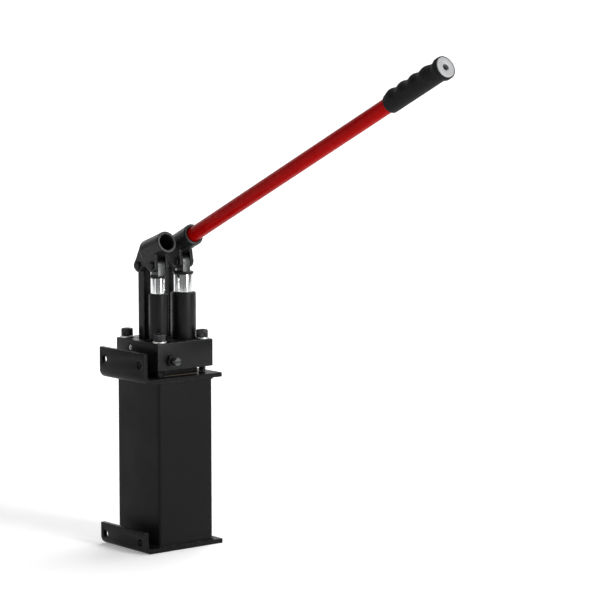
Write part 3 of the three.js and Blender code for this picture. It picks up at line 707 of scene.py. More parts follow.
class HandPumpLinkage(PropertyGroup):
    """Sizes of the levers, links and pins."""

    pin: length("Pin", "Radius of the linkage pins", 0.004)
    pin_drop: degrees("Pin drop", "Fall of the line of pins below a socket's axis", 16.0)
    pin_head: length("Pin head", "Height of a cross pin's head", 0.0022)
    socket: length("Socket", "Outer radius of a lever socket", 0.015)
    bore: length("Bore", "Radius of a socket's bore", 0.01075)
    back_wall: length("Back wall", "Metal behind a socket's bore", 0.006)
    rise: length("Socket rise", "Height of a socket's axis over its rear pin", 0.0155)
    behind: length("Socket start", "Distance from the rear pin to a socket's closed end", 0.013)
    left_length: length("Left socket", "Length of the small pump's socket", 0.048)
    right_length: length("Right socket", "Length of the large pump's socket", 0.056)
    ear: length("Ear", "Thickness of a socket's ears", 0.005)
    ear_radius: length("Ear end", "Radius of an ear round its pin", 0.009)
    gap: length("Ear gap", "Half the space between two ears", 0.0064)
    tongue: length("Tongue", "Radius of a plunger head's tip", 0.008)
    tongue_half: length("Tongue half", "Half the thickness of a plunger head", 0.006)
    collar: length("Collar", "Height of the collar under a plunger head", 0.004)
    link_end: length("Link end", "Radius of a link's ends", 0.008)
    link_waist: length("Link waist", "Half the width of a link between its ends", 0.0065)
    voxel: length("Casting grain", "Cell size that rounds off the castings", 0.00062)
    facing: length("Facing", "Depth that is faced off a socket's mouth", 0.00035)
    mouth: length("Mouth chamfer", "Chamfer of a socket's bore, in its width", 0.0012)
    slack: length("Head slack", "Half the extra length of a plunger head's hole", 0.0018)
    ease: length("Hole ease", "Gap round the pin in a plunger head's hole", 0.0004)
    shoulder: length("Shoulder", "Step of a barrel above its thread", 0.001)
    seal_width: length("Seal width", "Width of the groove for a plunger's seals", 0.0022)
    seal_depth: length("Seal depth", "Depth of that groove in a barrel's mouth", 0.008)


class HandPumpHandle(PropertyGroup):
    """Sizes of the handle and its grip."""

    wall: length("Tube wall", "Wall of the handle tube", 0.002)
    grip: length("Grip", "Radius of the grip between its bumps", 0.0129)
    bumps: IntProperty(name="Finger bumps", description="Bumps along one side of the grip", default=4, min=2)
    bump: length("Bump", "Height of the finger bumps", 0.0024)
    neck: length("Neck", "Length of the dip before the grip's thick end", 0.009)
    neck_depth: length("Neck depth", "Depth of that dip", 0.0014)
    flange: length("Grip end", "Radius of the grip's end", 0.015)
    flange_length: length("Grip end length", "Length of the grip's thick end", 0.007)
    bump_turn: degrees("Bump turn", "Turn of the bumps from the top towards the left", 25.0)
    cap_hole: length("Cap hole", "Radius of the hole in the end cap", 0.0042)
    cap_plate: length("Cap plate", "Thickness of the end cap's outer disc", 0.00285)
    recess: length("Cap recess", "Depth of the grip's recess for the end cap", 0.003)
    recess_radius: length("Recess radius", "Radius of that recess", 0.01345)
    start_radius: length("Grip start", "Radius by which the grip's lower end is placed", 0.013)


class HandPumpStage(PropertyGroup):
    """Camera and light."""

    eye: FloatVectorProperty(
        name="Eye", description="Where the camera stands", default=(-2.1843, -2.9678, 0.7802), unit="LENGTH",
    )
    gaze: FloatVectorProperty(
        name="Gaze", description="The direction in which the camera looks", default=(0.6277, 0.7692, -0.1202),
    )
    lens: FloatProperty(name="Lens", description="Focal length in millimetres", default=164.0)
    floor: colour("Floor", "Colour of the floor and backdrop", (0.86, 0.86, 0.86))
    glow: FloatProperty(name="Floor glow", description="Light that the floor gives off itself", default=0.85)
    key: power("Key light", "Power of the light on the right", 48.0)
    fill: power("Strip light", "Power of the narrow light on the left", 2.5)
    top: power("Top light", "Power of the light above", 30.0)
    sky: FloatProperty(name="Sky", description="Strength of the surrounding light", default=0.2)


# ---- Stage --------------------------------------------------------------------------------------


def area_light(name, place, target, size, power, tint=(1, 1, 1)):
    data = bpy.data.lights.new(name, "AREA")
    data.shape = "RECTANGLE"
    data.size, data.size_y = size
    data.energy = power
    data.color = tint
    light = bpy.data.objects.new(name, data)
    bpy.context.scene.collection.objects.link(light)
    light.location = place
    light.rotation_euler = (Vector(target) - Vector(place)).to_track_quat("-Z", "Y").to_euler()


class HANDPUMP_OT_stage(Operator):
    """Makes the camera, the soft light and the pale floor"""

    bl_idname = "handpump.stage"
    bl_label = "Camera and Light"

    def execute(self, context):
        scene, settings = context.scene, context.scene.handpump_stage
        data = bpy.data.cameras.new("view")
        data.lens = settings.lens
        data.clip_end = 50.0
        camera = bpy.data.objects.new("view", data)
        scene.collection.objects.link(camera)
        camera.location = settings.eye
        camera.rotation_euler = Vector(settings.gaze).to_track_quat("-Z", "Y").to_euler()
        scene.camera = camera
        scene.view_settings.view_transform = "Standard"

        gaze = Vector(settings.gaze).normalized()
        ahead = gaze.xy.normalized().to_3d()
        right = Vector((ahead.y, -ahead.x, 0))
        up = Vector((0, 0, 1))
        middle = Vector((0.0, -0.15, 0.35))
        area_light("key", middle + 1.7 * right - 1.3 * ahead + 0.8 * up, middle, (0.7, 1.6), settings.key)
        area_light("strip", middle - 1.5 * right - 1.0 * ahead + 0.5 * up, middle, (0.25, 1.5), settings.fill)
        area_light("top", middle + 0.5 * right + 0.9 * ahead + 1.9 * up, middle, (1.4, 1.4), settings.top)

        world = bpy.data.worlds.new("pale_sky")
        world.use_nodes = True
        filled(world.node_tree.nodes["Background"], Color=(1, 1, 1, 1), Strength=settings.sky)
        scene.world = world

        reach, back, height, bend = 9.0, 7.0, 6.0, 2.5
        profile = [(-reach, 0.0), *arc((back - bend, bend), bend, -90, 0, 12), (back, height)]
        heading = Vector(settings.gaze).xy.normalized()
        side = Vector((heading.y, -heading.x))
        bm = bmesh.new()
        rows = []
        for step, z in profile:
            ends = [heading * step + side * s for s in (-reach, reach)]
            rows.append([bm.verts.new((p.x, p.y, z - 0.0002)) for p in ends])
        for low, high in zip(rows, rows[1:]):
            bm.faces.new((low[0], low[1], high[1], high[0]))
        under = Matrix.Translation((0, 0, -0.001))  # a wide floor under the sheet, for low views
        bmesh.ops.create_circle(bm, cap_ends=True, segments=ROUND, radius=35.0, matrix=under)
        backdrop = object_from("backdrop", bm)
        backdrop.data.shade_smooth()
        paper = Finish("backdrop_paper", settings.floor, 0.9, Specular_IOR_Level=0.1)
        filled(paper.shader, Emission_Color=(1, 1, 1, 1))
        # Painted light: the paper glows by itself. The glow is weakest within 0.4 m of the origin, where the
        # pump stands, and strongest from 2.5 m out. This paints a lit backdrop, with painted shade round the
        # pump.
        away = added(paper.tree, "ShaderNodeVectorMath", operation="LENGTH")
        wire(paper.tree, paper.coordinates, away.inputs[0])
        glow = paper.ranged(away.outputs["Value"], 0.4, 2.5, 0.3 * settings.glow, settings.glow)
        wire(paper.tree, glow, paper.shader.inputs["Emission Strength"])
        paper.raised(paper.noise(60.0), 0.0001, 0.2)
        backdrop.data.materials.append(paper.material)
        return {"FINISHED"}


# ---- Tank ---------------------------------------------------------------------------------------


def end_plate(name, node, settings):
    """An end plate, its left end bent up into a drilled flange."""
    low, high = corners_of(node)
    t, outer = settings.plate, settings.bend + settings.plate
    tall = high.z - low.z
    centre = low.x + outer
    outline = [(high.x, 0), (high.x, t)]
    outline += arc((centre, outer), settings.bend, 270, 180, 10)
    outline += [(low.x + t, tall), (low.x, tall)]
    outline += arc((centre, outer), outer, 180, 270, 14)
    upright = Matrix.Translation((0, high.y, low.z)) @ Matrix.Rotation(math.radians(90), 4, "X")
    plate = prism(name, outline, high.y - low.y, upright)
    on_floor = node == "bottom_plate"
    hole_z = settings.low_hole if on_floor else low.z + t + settings.high_hole
    reach = settings.hole_spread / 2
    return plate, [
        rod("hole", settings.flange_hole, 4 * t, along(RIGHT, (low.x - t, y, hole_z)))
        for y in (-reach, reach)
    ]


def bead_tree():
    """Weld ripples along a rounded rectangle: a ring of balls of slightly varied size, one to each pitch."""
    tree = bpy.data.node_groups.new("weld_ripples", "GeometryNodeTree")
    for name, kind in (
        ("Width", "Float"), ("Depth", "Float"), ("Corner", "Float"), ("Height", "Float"),
        ("Bead", "Float"), ("Pitch", "Float"), ("Material", "Material"),
    ):
        tree.interface.new_socket(name, in_out="INPUT", socket_type=f"NodeSocket{kind}")
    tree.interface.new_socket("Geometry", in_out="OUTPUT", socket_type="NodeSocketGeometry")
    given = added(tree, "NodeGroupInput").outputs
    path = added(tree, "GeometryNodeCurvePrimitiveQuadrilateral")
    wire(tree, given["Width"], path.inputs["Width"])
    wire(tree, given["Depth"], path.inputs["Height"])
    rounded = added(tree, "GeometryNodeFilletCurve", mode="POLY")
    rounded.inputs["Count"].default_value = 6
    wire(tree, path.outputs["Curve"], rounded.inputs["Curve"])
    wire(tree, given["Corner"], rounded.inputs["Radius"])
    spaced = added(tree, "GeometryNodeResampleCurve", mode="LENGTH")
    wire(tree, rounded.outputs["Curve"], spaced.inputs["Curve"])
    wire(tree, given["Pitch"], spaced.inputs["Length"])
    lift = added(tree, "ShaderNodeCombineXYZ")
    wire(tree, given["Height"], lift.inputs["Z"])
    raised = added(tree, "GeometryNodeTransform")
    wire(tree, spaced.outputs["Curve"], raised.inputs["Geometry"])
    wire(tree, lift.outputs["Vector"], raised.inputs["Translation"])
    ball = added(tree, "GeometryNodeMeshUVSphere")
    filled(ball, Segments=12, Rings=8)
    wire(tree, given["Bead"], ball.inputs["Radius"])
    ripples = added(tree, "GeometryNodeInstanceOnPoints")
    wire(tree, raised.outputs["Geometry"], ripples.inputs["Points"])
    wire(tree, ball.outputs["Mesh"], ripples.inputs["Instance"])
    varied = added(tree, "FunctionNodeRandomValue", data_type="FLOAT")
    for socket, value in (("Min", 0.86), ("Max", 1.08)):
        next(s for s in varied.inputs if s.name == socket and s.type == "VALUE").default_value = value
    filled(varied, Seed=7)
    wire(tree, next(s for s in varied.outputs if s.type == "VALUE" and s.enabled), ripples.inputs["Scale"])
    real = added(tree, "GeometryNodeRealizeInstances")
    wire(tree, ripples.outputs["Instances"], real.inputs["Geometry"])
    painted = added(tree, "GeometryNodeSetMaterial")
    wire(tree, real.outputs["Geometry"], painted.inputs["Geometry"])
    wire(tree, given["Material"], painted.inputs["Material"])
    wire(tree, painted.outputs["Geometry"], added(tree, "NodeGroupOutput").inputs["Geometry"])
    return tree


def grown(name, tree, **inputs):
    """Runs a geometry tree with named inputs and returns its result as a plain mesh object."""
    host = new_object(name, bpy.data.meshes.new(name))
    modifier = host.modifiers.new("tree", "NODES")
    modifier.node_group = tree
    for socket in tree.interface.items_tree:
        key = socket.name.replace(" ", "_")
        if socket.in_out == "INPUT" and key in inputs:
            modifier[socket.identifier] = inputs[key]
    made = settled(host)
    made.data.materials.clear()
    made.data.materials.append(inputs["Material"])
    made.data.polygons.foreach_set("material_index", [0] * len(made.data.polygons))
    return made


class HANDPUMP_OT_tank(Operator):
    """Makes the tank's shell, its two end plates, their weld beads and the filler plug"""

    bl_idname = "handpump.tank"
    bl_label = "Oil Tank"

    def execute(self, context):
        settings = context.scene.handpump_tank
        low, high = corners_of("tank_shell")
        width, depth = high.x - low.x, high.y - low.y
        self.shell(settings, width, depth, low.z, high.z - low.z, high.y)
        self.plates(settings)
        self.beads(settings, width, depth, low.z, high.z)
        self.plug(settings, *corners_of("filler_plug"))
        return {"FINISHED"}

    def shell(self, settings, width, depth, foot, tall, back):
        """The shell, open at both ends, with a hole in its back for the filler plug."""
        wall, corner = settings.wall, settings.corner
        outside = rounded_rectangle(width, depth, corner, 10)
        shell = prism("oil_tank_shell", outside, tall, Matrix.Translation((0, 0, foot)))
        hollow = rounded_rectangle(width - 2 * wall, depth - 2 * wall, corner - wall, 6)
        inside = prism("hollow", hollow, tall + 0.02, Matrix.Translation((0, 0, foot - 0.01)))
        plug_low, plug_high = corners_of("filler_plug")
        through = along(BACK, (0, back - 0.015, (plug_low.z + plug_high.z) / 2))
        shell = combined(shell, [inside, rod("filler", settings.filler_hole, 0.03, through)])
        dressed(shell, finish(black_enamel), "black_paint", "root", "tank_shell", angle=50)

    def plates(self, settings):
        foot, cutters = end_plate("tank_foot_plate", "bottom_plate", settings)
        foot = bevelled(combined(foot, cutters), settings.edge)
        dressed(foot, finish(black_enamel), "black_paint", "root", "bottom_plate")

        head, cutters = end_plate("tank_head_plate", "top_plate", settings)
        top, pipe = corners_of("tank_shell")[1].z, middle_of("suction_pipe")
        holes = [(middle_of(bolt).x, middle_of(bolt).y, settings.screw_hole) for bolt in nodes_named("bolt_")]
        for x, y, radius in (*holes, (0, pipe.y, settings.pipe_hole)):
            cutters.append(rod("hole", radius, 0.03, along(UP, (x, y, top - 0.01))))
        head = bevelled(combined(head, cutters), settings.edge)
        dressed(head, finish(black_enamel), "black_paint", "root", "top_plate")

    def beads(self, settings, width, depth, foot, top):
        """A fillet weld round each end of the shell."""
        tree, bead = bead_tree(), settings.bead
        spread = 0.8 * bead
        beads = [
            grown(
                f"bead_{k}", tree, Width=width + spread, Depth=depth + spread, Corner=settings.corner,
                Height=level, Bead=bead, Pitch=settings.bead_pitch, Material=finish(black_enamel),
            )
            for k, level in enumerate((foot + 0.3 * bead, top - 0.3 * bead))
        ]
        dressed(joined("tank_weld_beads", beads), finish(black_enamel), "black_paint", "root", angle=180)

    def plug(self, settings, low, high):
        """The hexagon-headed filler plug and its sealing washer, on the tank's back."""
        centre = (low + high) / 2
        ring_low, ring_high = corners_of("filler_washer")
        face, radius = ring_high.y, settings.filler_stem
        at_face = along(BACK, (centre.x, face, centre.z))
        head = hexagon_bar("filler_head", high.x - low.x, high.y - face, at_face)
        reach = face - low.y + 0.0005
        stem = turned(
            "filler_stem", [(0, 0), (radius, 0), (radius, reach), (0, reach)],
            along(BACK, (centre.x, low.y, centre.z)), segments=SMALL,
        )
        into_head = along(BACK, (centre.x, high.y - 0.004, centre.z))
        key = prism("key", hexagon(settings.filler_key / math.sqrt(3)), 0.01, into_head)
        plug = joined("filler_plug_hex", [combined(head, [key]), stem])
        dressed(plug, finish(zinc_plate), "zinc_plate", "root", "filler_plug")
        ring = turned(
            "filler_seal_washer",
            square_ring(settings.filler_seal, (ring_high.x - ring_low.x) / 2, 0, ring_high.y - ring_low.y),
            along(BACK, (centre.x, ring_low.y, centre.z)), soft=0.0004,
        )
        dressed(ring, finish(plain_brass), "brass", "root", "filler_washer")


# ---- Block --------------------------------------------------------------------------------------


class HANDPUMP_OT_block(Operator):
    """Makes the spacer frame, the gaskets, the drilled pump block and its plugs"""

    bl_idname = "handpump.block"
    bl_label = "Pump Block"

    def execute(self, context):
        settings = context.scene.handpump_block
        self.spacer(settings)
        low, high = corners_of("pump_block")
        body = block_between("pump_block_body", low, high)
        body.data.materials.append(finish(blackened_steel))
        body = bevelled(body, settings.edge, 3)
        cutters = []
        for bolt in nodes_named("bolt_"):
            place = middle_of(bolt)
            hole = along(UP, (place.x, place.y, low.z - 0.01))
            cutters.append(rod("hole", settings.screw + settings.fit, 0.06, hole))
        for side in SIDES:
            cutters += self.pump_cutters(settings, side, high.z)
        cutters += self.ports(low, high)
        block = combined(body, cutters)
        dressed(block, None, "black_steel", "root", "pump_block", angle=28)

        bright = finish(bright_steel)
        for name, node in (("gallery_plug_screw", "gallery_plug"), ("relief_valve_screw", "relief_screw")):
            dressed(self.socket_screw(settings, name, node), bright, "bright_steel", "root", node)
        for side in SIDES:
            node = f"{side}_link_base_pin"
            pin = self.headless(settings, f"{side}_link_anchor_pin", node, ROUND)
            dressed(pin, bright, "bright_steel", "root", node)
        return {"FINISHED"}

    def pump_cutters(self, settings, side, top):
        """A barrel's bore with its chamfered mouth, and the slot and pin hole of that side's link."""
        low, high = corners_of(f"{side}_barrel")
        bore, rise = (high.x - low.x) / 2 - 0.00075, top - low.z
        outline = [(0, 0), (bore, 0), (bore, rise + 0.0031), (bore + 0.0016, rise + 0.005), (0, rise + 0.005)]
        place = along(UP, ((low.x + high.x) / 2, (low.y + high.y) / 2, low.z - 0.004))
        cutters = [turned("bore", outline, place, soft=0.0)]
        hinge = joint_place(f"{side}_link_rock")
        half, reach = settings.slot_width / 2, settings.slot_reach
        bottom = (hinge.x - half, hinge.y - reach, hinge.z - settings.slot_below)
        cutters.append(block_between("slot", bottom, (hinge.x + half, hinge.y + reach, top + 0.01)))
        pin_low, pin_high = corners_of(f"{side}_link_base_pin")
        outward = 1 if hinge.x > 0 else -1
        start = pin_low.x - 0.0005 if outward > 0 else pin_high.x + 0.0005
        hole = along((outward, 0, 0), (start, hinge.y, hinge.z))
        cutters.append(rod("pin_hole", settings.pin_hole, 0.08, hole))
        return cutters

    def ports(self, low, high):
        """The threaded ports, each with a countersunk mouth: outlet, gallery, relief and release."""
        outlet, gallery, relief = (middle_of(n) for n in ("outlet_adaptor", "gallery_plug", "relief_screw"))
        spindle = joint_place("release_turn")
        ports = (  # direction, start, bore radius, bore length, mouth radius, whole length
            (BACK, (outlet.x, high.y - 0.017, outlet.z), 0.00725, 0.0165, 0.0088, 0.018),
            (RIGHT, (high.x - 0.0096, gallery.y, gallery.z), 0.00425, 0.009, 0.0055, 0.0103),
            (RIGHT, (high.x - 0.0137, relief.y, relief.z), 0.00425, 0.013, 0.0054, 0.0143),
            ((0, -1, 0), (spindle.x, low.y + 0.0207, spindle.z), 0.00425, 0.02, 0.0057, 0.0213),
        )
        return [
            turned("port", [(0, 0), (r, 0), (r, deep), (mouth, end), (0, end)], along(way, start), soft=0.0)
            for way, start, r, deep, mouth, end in ports
        ]

    def spacer(self, settings):
        """The open frame between the tank and the block, with a gasket above and below."""
        wall, corner = settings.spacer_wall, settings.spacer_corner
        for name, node, maker, slot in (
            ("spacer_frame_cast", "spacer_frame", black_enamel, "black_paint"),
            ("tank_gasket_sheet", "tank_gasket", gasket_fibre, "gasket_fibre"),
            ("block_gasket_sheet", "block_gasket", gasket_fibre, "gasket_fibre"),
        ):
            low, high = corners_of(node)
            width, depth, tall = high.x - low.x, high.y - low.y, high.z - low.z
            place = Matrix.Translation((0, 0, low.z))
            piece = prism(name, rounded_rectangle(width, depth, corner), tall, place)
            hollow = rounded_rectangle(width - 2 * wall, depth - 2 * wall, corner - wall)
            inside = prism("hollow", hollow, tall + 0.01, Matrix.Translation((0, 0, low.z - 0.005)))
            piece = combined(piece, [inside])
            if node == "spacer_frame":
                piece = bevelled(piece, settings.rounding, 2)
            dressed(piece, finish(maker), slot, "root", node)

    def headless(self, settings, name, node, segments):
        """A plain round pin along X with a chamfer at both ends, in the place of a node."""
        low, high = corners_of(node)
        centre = (low + high) / 2
        outline = chamfered((high.z - low.z) / 2, high.x - low.x, settings.chamfer)
        place = along(RIGHT, (low.x, centre.y, centre.z))
        return turned(name, outline, place, soft=0.0001, segments=segments)

    def socket_screw(self, settings, name, node):
        """A headless screw with a hexagon socket in its outer, right-hand end."""
        end, centre = corners_of(node)[1].x, middle_of(node)
        into_end = along(RIGHT, (end - settings.key_depth, centre.y, centre.z))
        key = prism("key", hexagon(settings.plug_key / math.cos(math.pi / 6)), 0.01, into_end)
        return combined(self.headless(settings, name, node, SMALL), [key])


def screw_tree():
    """Copies one screw and one washer to each of the given points, each turned its own way."""
    tree = bpy.data.node_groups.new("screws_at_points", "GeometryNodeTree")
    for name, kind in (
        ("Points", "Object"), ("Screw", "Object"), ("Washer", "Object"), ("Seed", "Int"),
        ("Only Washers", "Bool"), ("Material", "Material"),
    ):
        tree.interface.new_socket(name, in_out="INPUT", socket_type=f"NodeSocket{kind}")
    tree.interface.new_socket("Geometry", in_out="OUTPUT", socket_type="NodeSocketGeometry")
    given = added(tree, "NodeGroupInput").outputs
    places = added(tree, "GeometryNodeObjectInfo")
    wire(tree, given["Points"], places.inputs["Object"])
    dots = added(tree, "GeometryNodeMeshToPoints")
    wire(tree, places.outputs["Geometry"], dots.inputs["Mesh"])
    turn = added(tree, "FunctionNodeRandomValue", data_type="FLOAT")
    next(s for s in turn.inputs if s.name == "Max" and s.type == "VALUE").default_value = FULL
    wire(tree, given["Seed"], turn.inputs["Seed"])
    heading = added(tree, "ShaderNodeCombineXYZ")
    wire(tree, next(s for s in turn.outputs if s.type == "VALUE" and s.enabled), heading.inputs["Z"])
    copies = []
    for which in ("Screw", "Washer"):
        shape = added(tree, "GeometryNodeObjectInfo")
        wire(tree, given[which], shape.inputs["Object"])
        placed = added(tree, "GeometryNodeInstanceOnPoints")
        wire(tree, dots.outputs["Points"], placed.inputs["Points"])
        wire(tree, shape.outputs["Geometry"], placed.inputs["Instance"])
        wire(tree, heading.outputs["Vector"], placed.inputs["Rotation"])
        copies.append(placed.outputs["Instances"])
    chosen = added(tree, "GeometryNodeSwitch", input_type="GEOMETRY")
    wire(tree, given["Only Washers"], chosen.inputs["Switch"])
    wire(tree, copies[0], chosen.inputs["False"])
    wire(tree, copies[1], chosen.inputs["True"])
    real = added(tree, "GeometryNodeRealizeInstances")
    wire(tree, chosen.outputs["Output"], real.inputs["Geometry"])
    painted = added(tree, "GeometryNodeSetMaterial")
    wire(tree, real.outputs["Geometry"], painted.inputs["Geometry"])
    wire(tree, given["Material"], painted.inputs["Material"])
    wire(tree, painted.outputs["Geometry"], added(tree, "NodeGroupOutput").inputs["Geometry"])
    return tree


class HANDPUMP_OT_screws(Operator):
    """Makes the four socket cap screws and washers that hold the block down"""

    bl_idname = "handpump.screws"
    bl_label = "Block Screws"

    def execute(self, context):
        settings = context.scene.handpump_block
        bolts, washers = sorted(nodes_named("bolt_")), sorted(nodes_named("washer_"))
        low, high = corners_of(bolts[0])
        seat = high.z - settings.head
        screw = self.screw(settings, (high.x - low.x) / 2, seat - low.z)
        low, high = corners_of(washers[0])
        ring = square_ring(settings.screw + settings.fit, (high.x - low.x) / 2, low.z - high.z, -0.0002)
        washer = turned("washer", ring, soft=0.00045)
        washer.data.shade_smooth()
        dots = bpy.data.meshes.new("screw_places")
        dots.from_pydata([(middle_of(n).x, middle_of(n).y, seat) for n in bolts], [], [])
        places = new_object("screw_places", dots)
        tree = screw_tree()
        given = {"Points": places, "Screw": screw, "Washer": washer, "Seed": 11}
        made = grown("block_cap_screws", tree, Only_Washers=False, Material=finish(blackened_steel), **given)
        dressed(made, finish(blackened_steel), "black_steel", "root", *bolts)
        made = grown("block_screw_washers", tree, Only_Washers=True, Material=finish(zinc_plate), **given)
        dressed(made, finish(zinc_plate), "zinc_plate", "root", *washers)
        for helper in (screw, washer, places):
            bpy.data.objects.remove(helper)
        return {"FINISHED"}

    def screw(self, settings, head_radius, reach):
        """One cap screw at the origin, its head's seat at height 0: knurled head, socket and thread."""
        tall = settings.head
        count = settings.knurls

        def knurled(angle, height, radius):
            if radius < head_radius - 0.0006 or not 0.0012 < height < tall - 0.0016:
                return 0
            return -settings.knurl_depth * (0.5 + 0.5 * math.cos(count * angle)) ** 2

        outline = [(0, 0), (head_radius - 0.0003, 0), (head_radius, 0.0004), (head_radius, 0.0012)]
        outline += [(head_radius, 0.0013), (head_radius, tall - 0.0017), (head_radius, tall - 0.0015)]
        outline += [(head_radius - 0.0002, tall - 0.0007), (head_radius - 0.001, tall), (0, tall)]
        head = turned("screw_head", outline, soft=0.00008, segments=4 * count, ripple=knurled)
        corner = settings.socket
        key = prism("key", hexagon(corner), 0.01, Matrix.Translation((0, 0, tall - 0.005)))
        wide = corner + 0.0006
        rim = turned(
            "rim", [(0, 0), (corner - 0.0002, 0), (wide, 0.0006), (wide, 0.002), (0, 0.002)],
            Matrix.Translation((0, 0, tall - 0.0004)), soft=0.0, segments=SMALL,
        )
        head = combined(head, [key, rim])
        r, pitch = settings.screw, settings.thread_pitch
        crest, root, start = r - 0.0001, r - 0.00075, 0.0011 - reach
        outline = [(0, -reach), (r - 0.0011, -reach), (crest, start)]
        for k in range(1, int(0.026 / pitch)):
            base = start + k * pitch
            outline += [(root, base - 0.55 * pitch), (root, base - 0.45 * pitch)]
            outline += [(crest, base - 0.06 * pitch), (crest, base)]
        outline += [(crest, 0.0005), (0, 0.0005)]
        shank = turned("screw_shank", outline, soft=0.0, segments=SMALL)
        return joined("screw", [head, shank])


# ---- Fittings -----------------------------------------------------------------------------------


class HANDPUMP_OT_fittings(Operator):
    """Makes the outlet adaptor and the release valve's gland and spindle"""

    bl_idname = "handpump.fittings"
    bl_label = "Fittings"

    def execute(self, context):
        settings = context.scene.handpump_fittings
        self.adaptor(settings)
        self.gland(settings)
        self.spindle(settings)
        return {"FINISHED"}

    def adaptor(self, settings):
        """The outlet's adaptor: a stem in the block, a hexagon and a threaded nose."""
        low, high = corners_of("outlet_adaptor")
        centre = (low + high) / 2
        block_back = corners_of("pump_block")[1].y
        start, hex_end = block_back + settings.seat, block_back + settings.hexagon
        radius, bore = settings.thread, settings.bore

        def at(y):
            return along(BACK, (centre.x, y, centre.z))

        flats = min(high.x - low.x, high.z - low.z)
        bar = hexagon_bar("adaptor_hex", flats, hex_end - start, at(start))
        tip = turned("adaptor_nose", self.nose(settings, high.y - hex_end), at(hex_end), soft=0.0)
        bar = combined(bar, [rod("oil_way", bore, 0.1, at(start - 0.01))])
        end = start + 0.0005 - low.y
        outline = [(bore, 0), (radius - 0.0006, 0), (radius, 0.0006), (radius, end), (bore, end)]
        stem = turned("adaptor_stem", outline, at(low.y), soft=0.0001, segments=SMALL)
        fitting = joined("outlet_hose_adaptor", [bar, tip, stem])
        dressed(fitting, finish(zinc_plate), "zinc_plate", "root", "outlet_adaptor")

    def nose(self, settings, span):
        """The outline of the adaptor's threaded nose, with a cone in its mouth."""
        radius, bore, pitch = settings.thread, settings.bore, settings.pitch
        neck, first, count = radius - 0.0014, 0.0018, int((span - 0.004) / pitch)
        outline = [(bore, -0.002), (neck, -0.002), (neck, 0.0016)]
        for k in range(count):
            base = first + k * pitch
            outline += [(radius - 0.00085, base)]
            outline += [(radius, base + 0.55 * pitch), (radius, base + 0.66 * pitch)]
        outline += [(radius - 0.0009, first + count * pitch), (radius - 0.0018, span - 0.0004)]
        return outline + [(radius - 0.0018, span), (bore, span - 0.0032)]

    def gland(self, settings):
        """The hexagon nut that guides the release spindle."""
        centre = joint_place("release_turn")
        low, high = corners_of("release_gland_nut")
        flats = min(high.x - low.x, high.z - low.z)
        place = along(BACK, (centre.x, low.y, centre.z))
        nut = hexagon_bar("release_gland_hex", flats, high.y - low.y, place, 0.0008)
        bore = rod("bore", settings.gland_bore, 0.03, along(BACK, (centre.x, low.y - 0.01, centre.z)))
        nut = combined(nut, [bore])
        dressed(nut, finish(blackened_steel), "black_steel", "root", "release_gland_nut")

    def spindle(self, settings):
        """The release valve's spindle: a slotted head, a stem with a seal's groove, and a cone."""
        centre = joint_place("release_turn")
        low, high = corners_of("release_spindle")
        radius, span = (high.x - low.x) / 2, high.y - low.y
        knob, edge, stem, groove = settings.head, settings.head_edge, settings.stem, settings.groove
        outline = [
            (0, 0), (radius - edge, 0), (radius, edge), (radius, knob - 0.0005), (radius - 0.0005, knob),
            (stem, knob), (stem, knob + 0.0012), (groove, knob + 0.0016), (groove, knob + 0.0026),
            (stem, knob + 0.003), (stem, span - settings.tip), (0, span),
        ]
        place = along(BACK, (centre.x, low.y, centre.z))
        spindle = turned("release_valve_spindle", outline, place, soft=0.00015)
        reach = Vector((0.02, settings.slot_depth, settings.slot / 2))
        front = Vector((centre.x, low.y, centre.z))
        spindle = combined(spindle, [block_between("slot", front - reach, front + reach)])
        dressed(spindle, finish(dull_steel), "bright_steel", "release_spindle", "release_spindle")


# ---- Barrels and plungers -----------------------------------------------------------------------


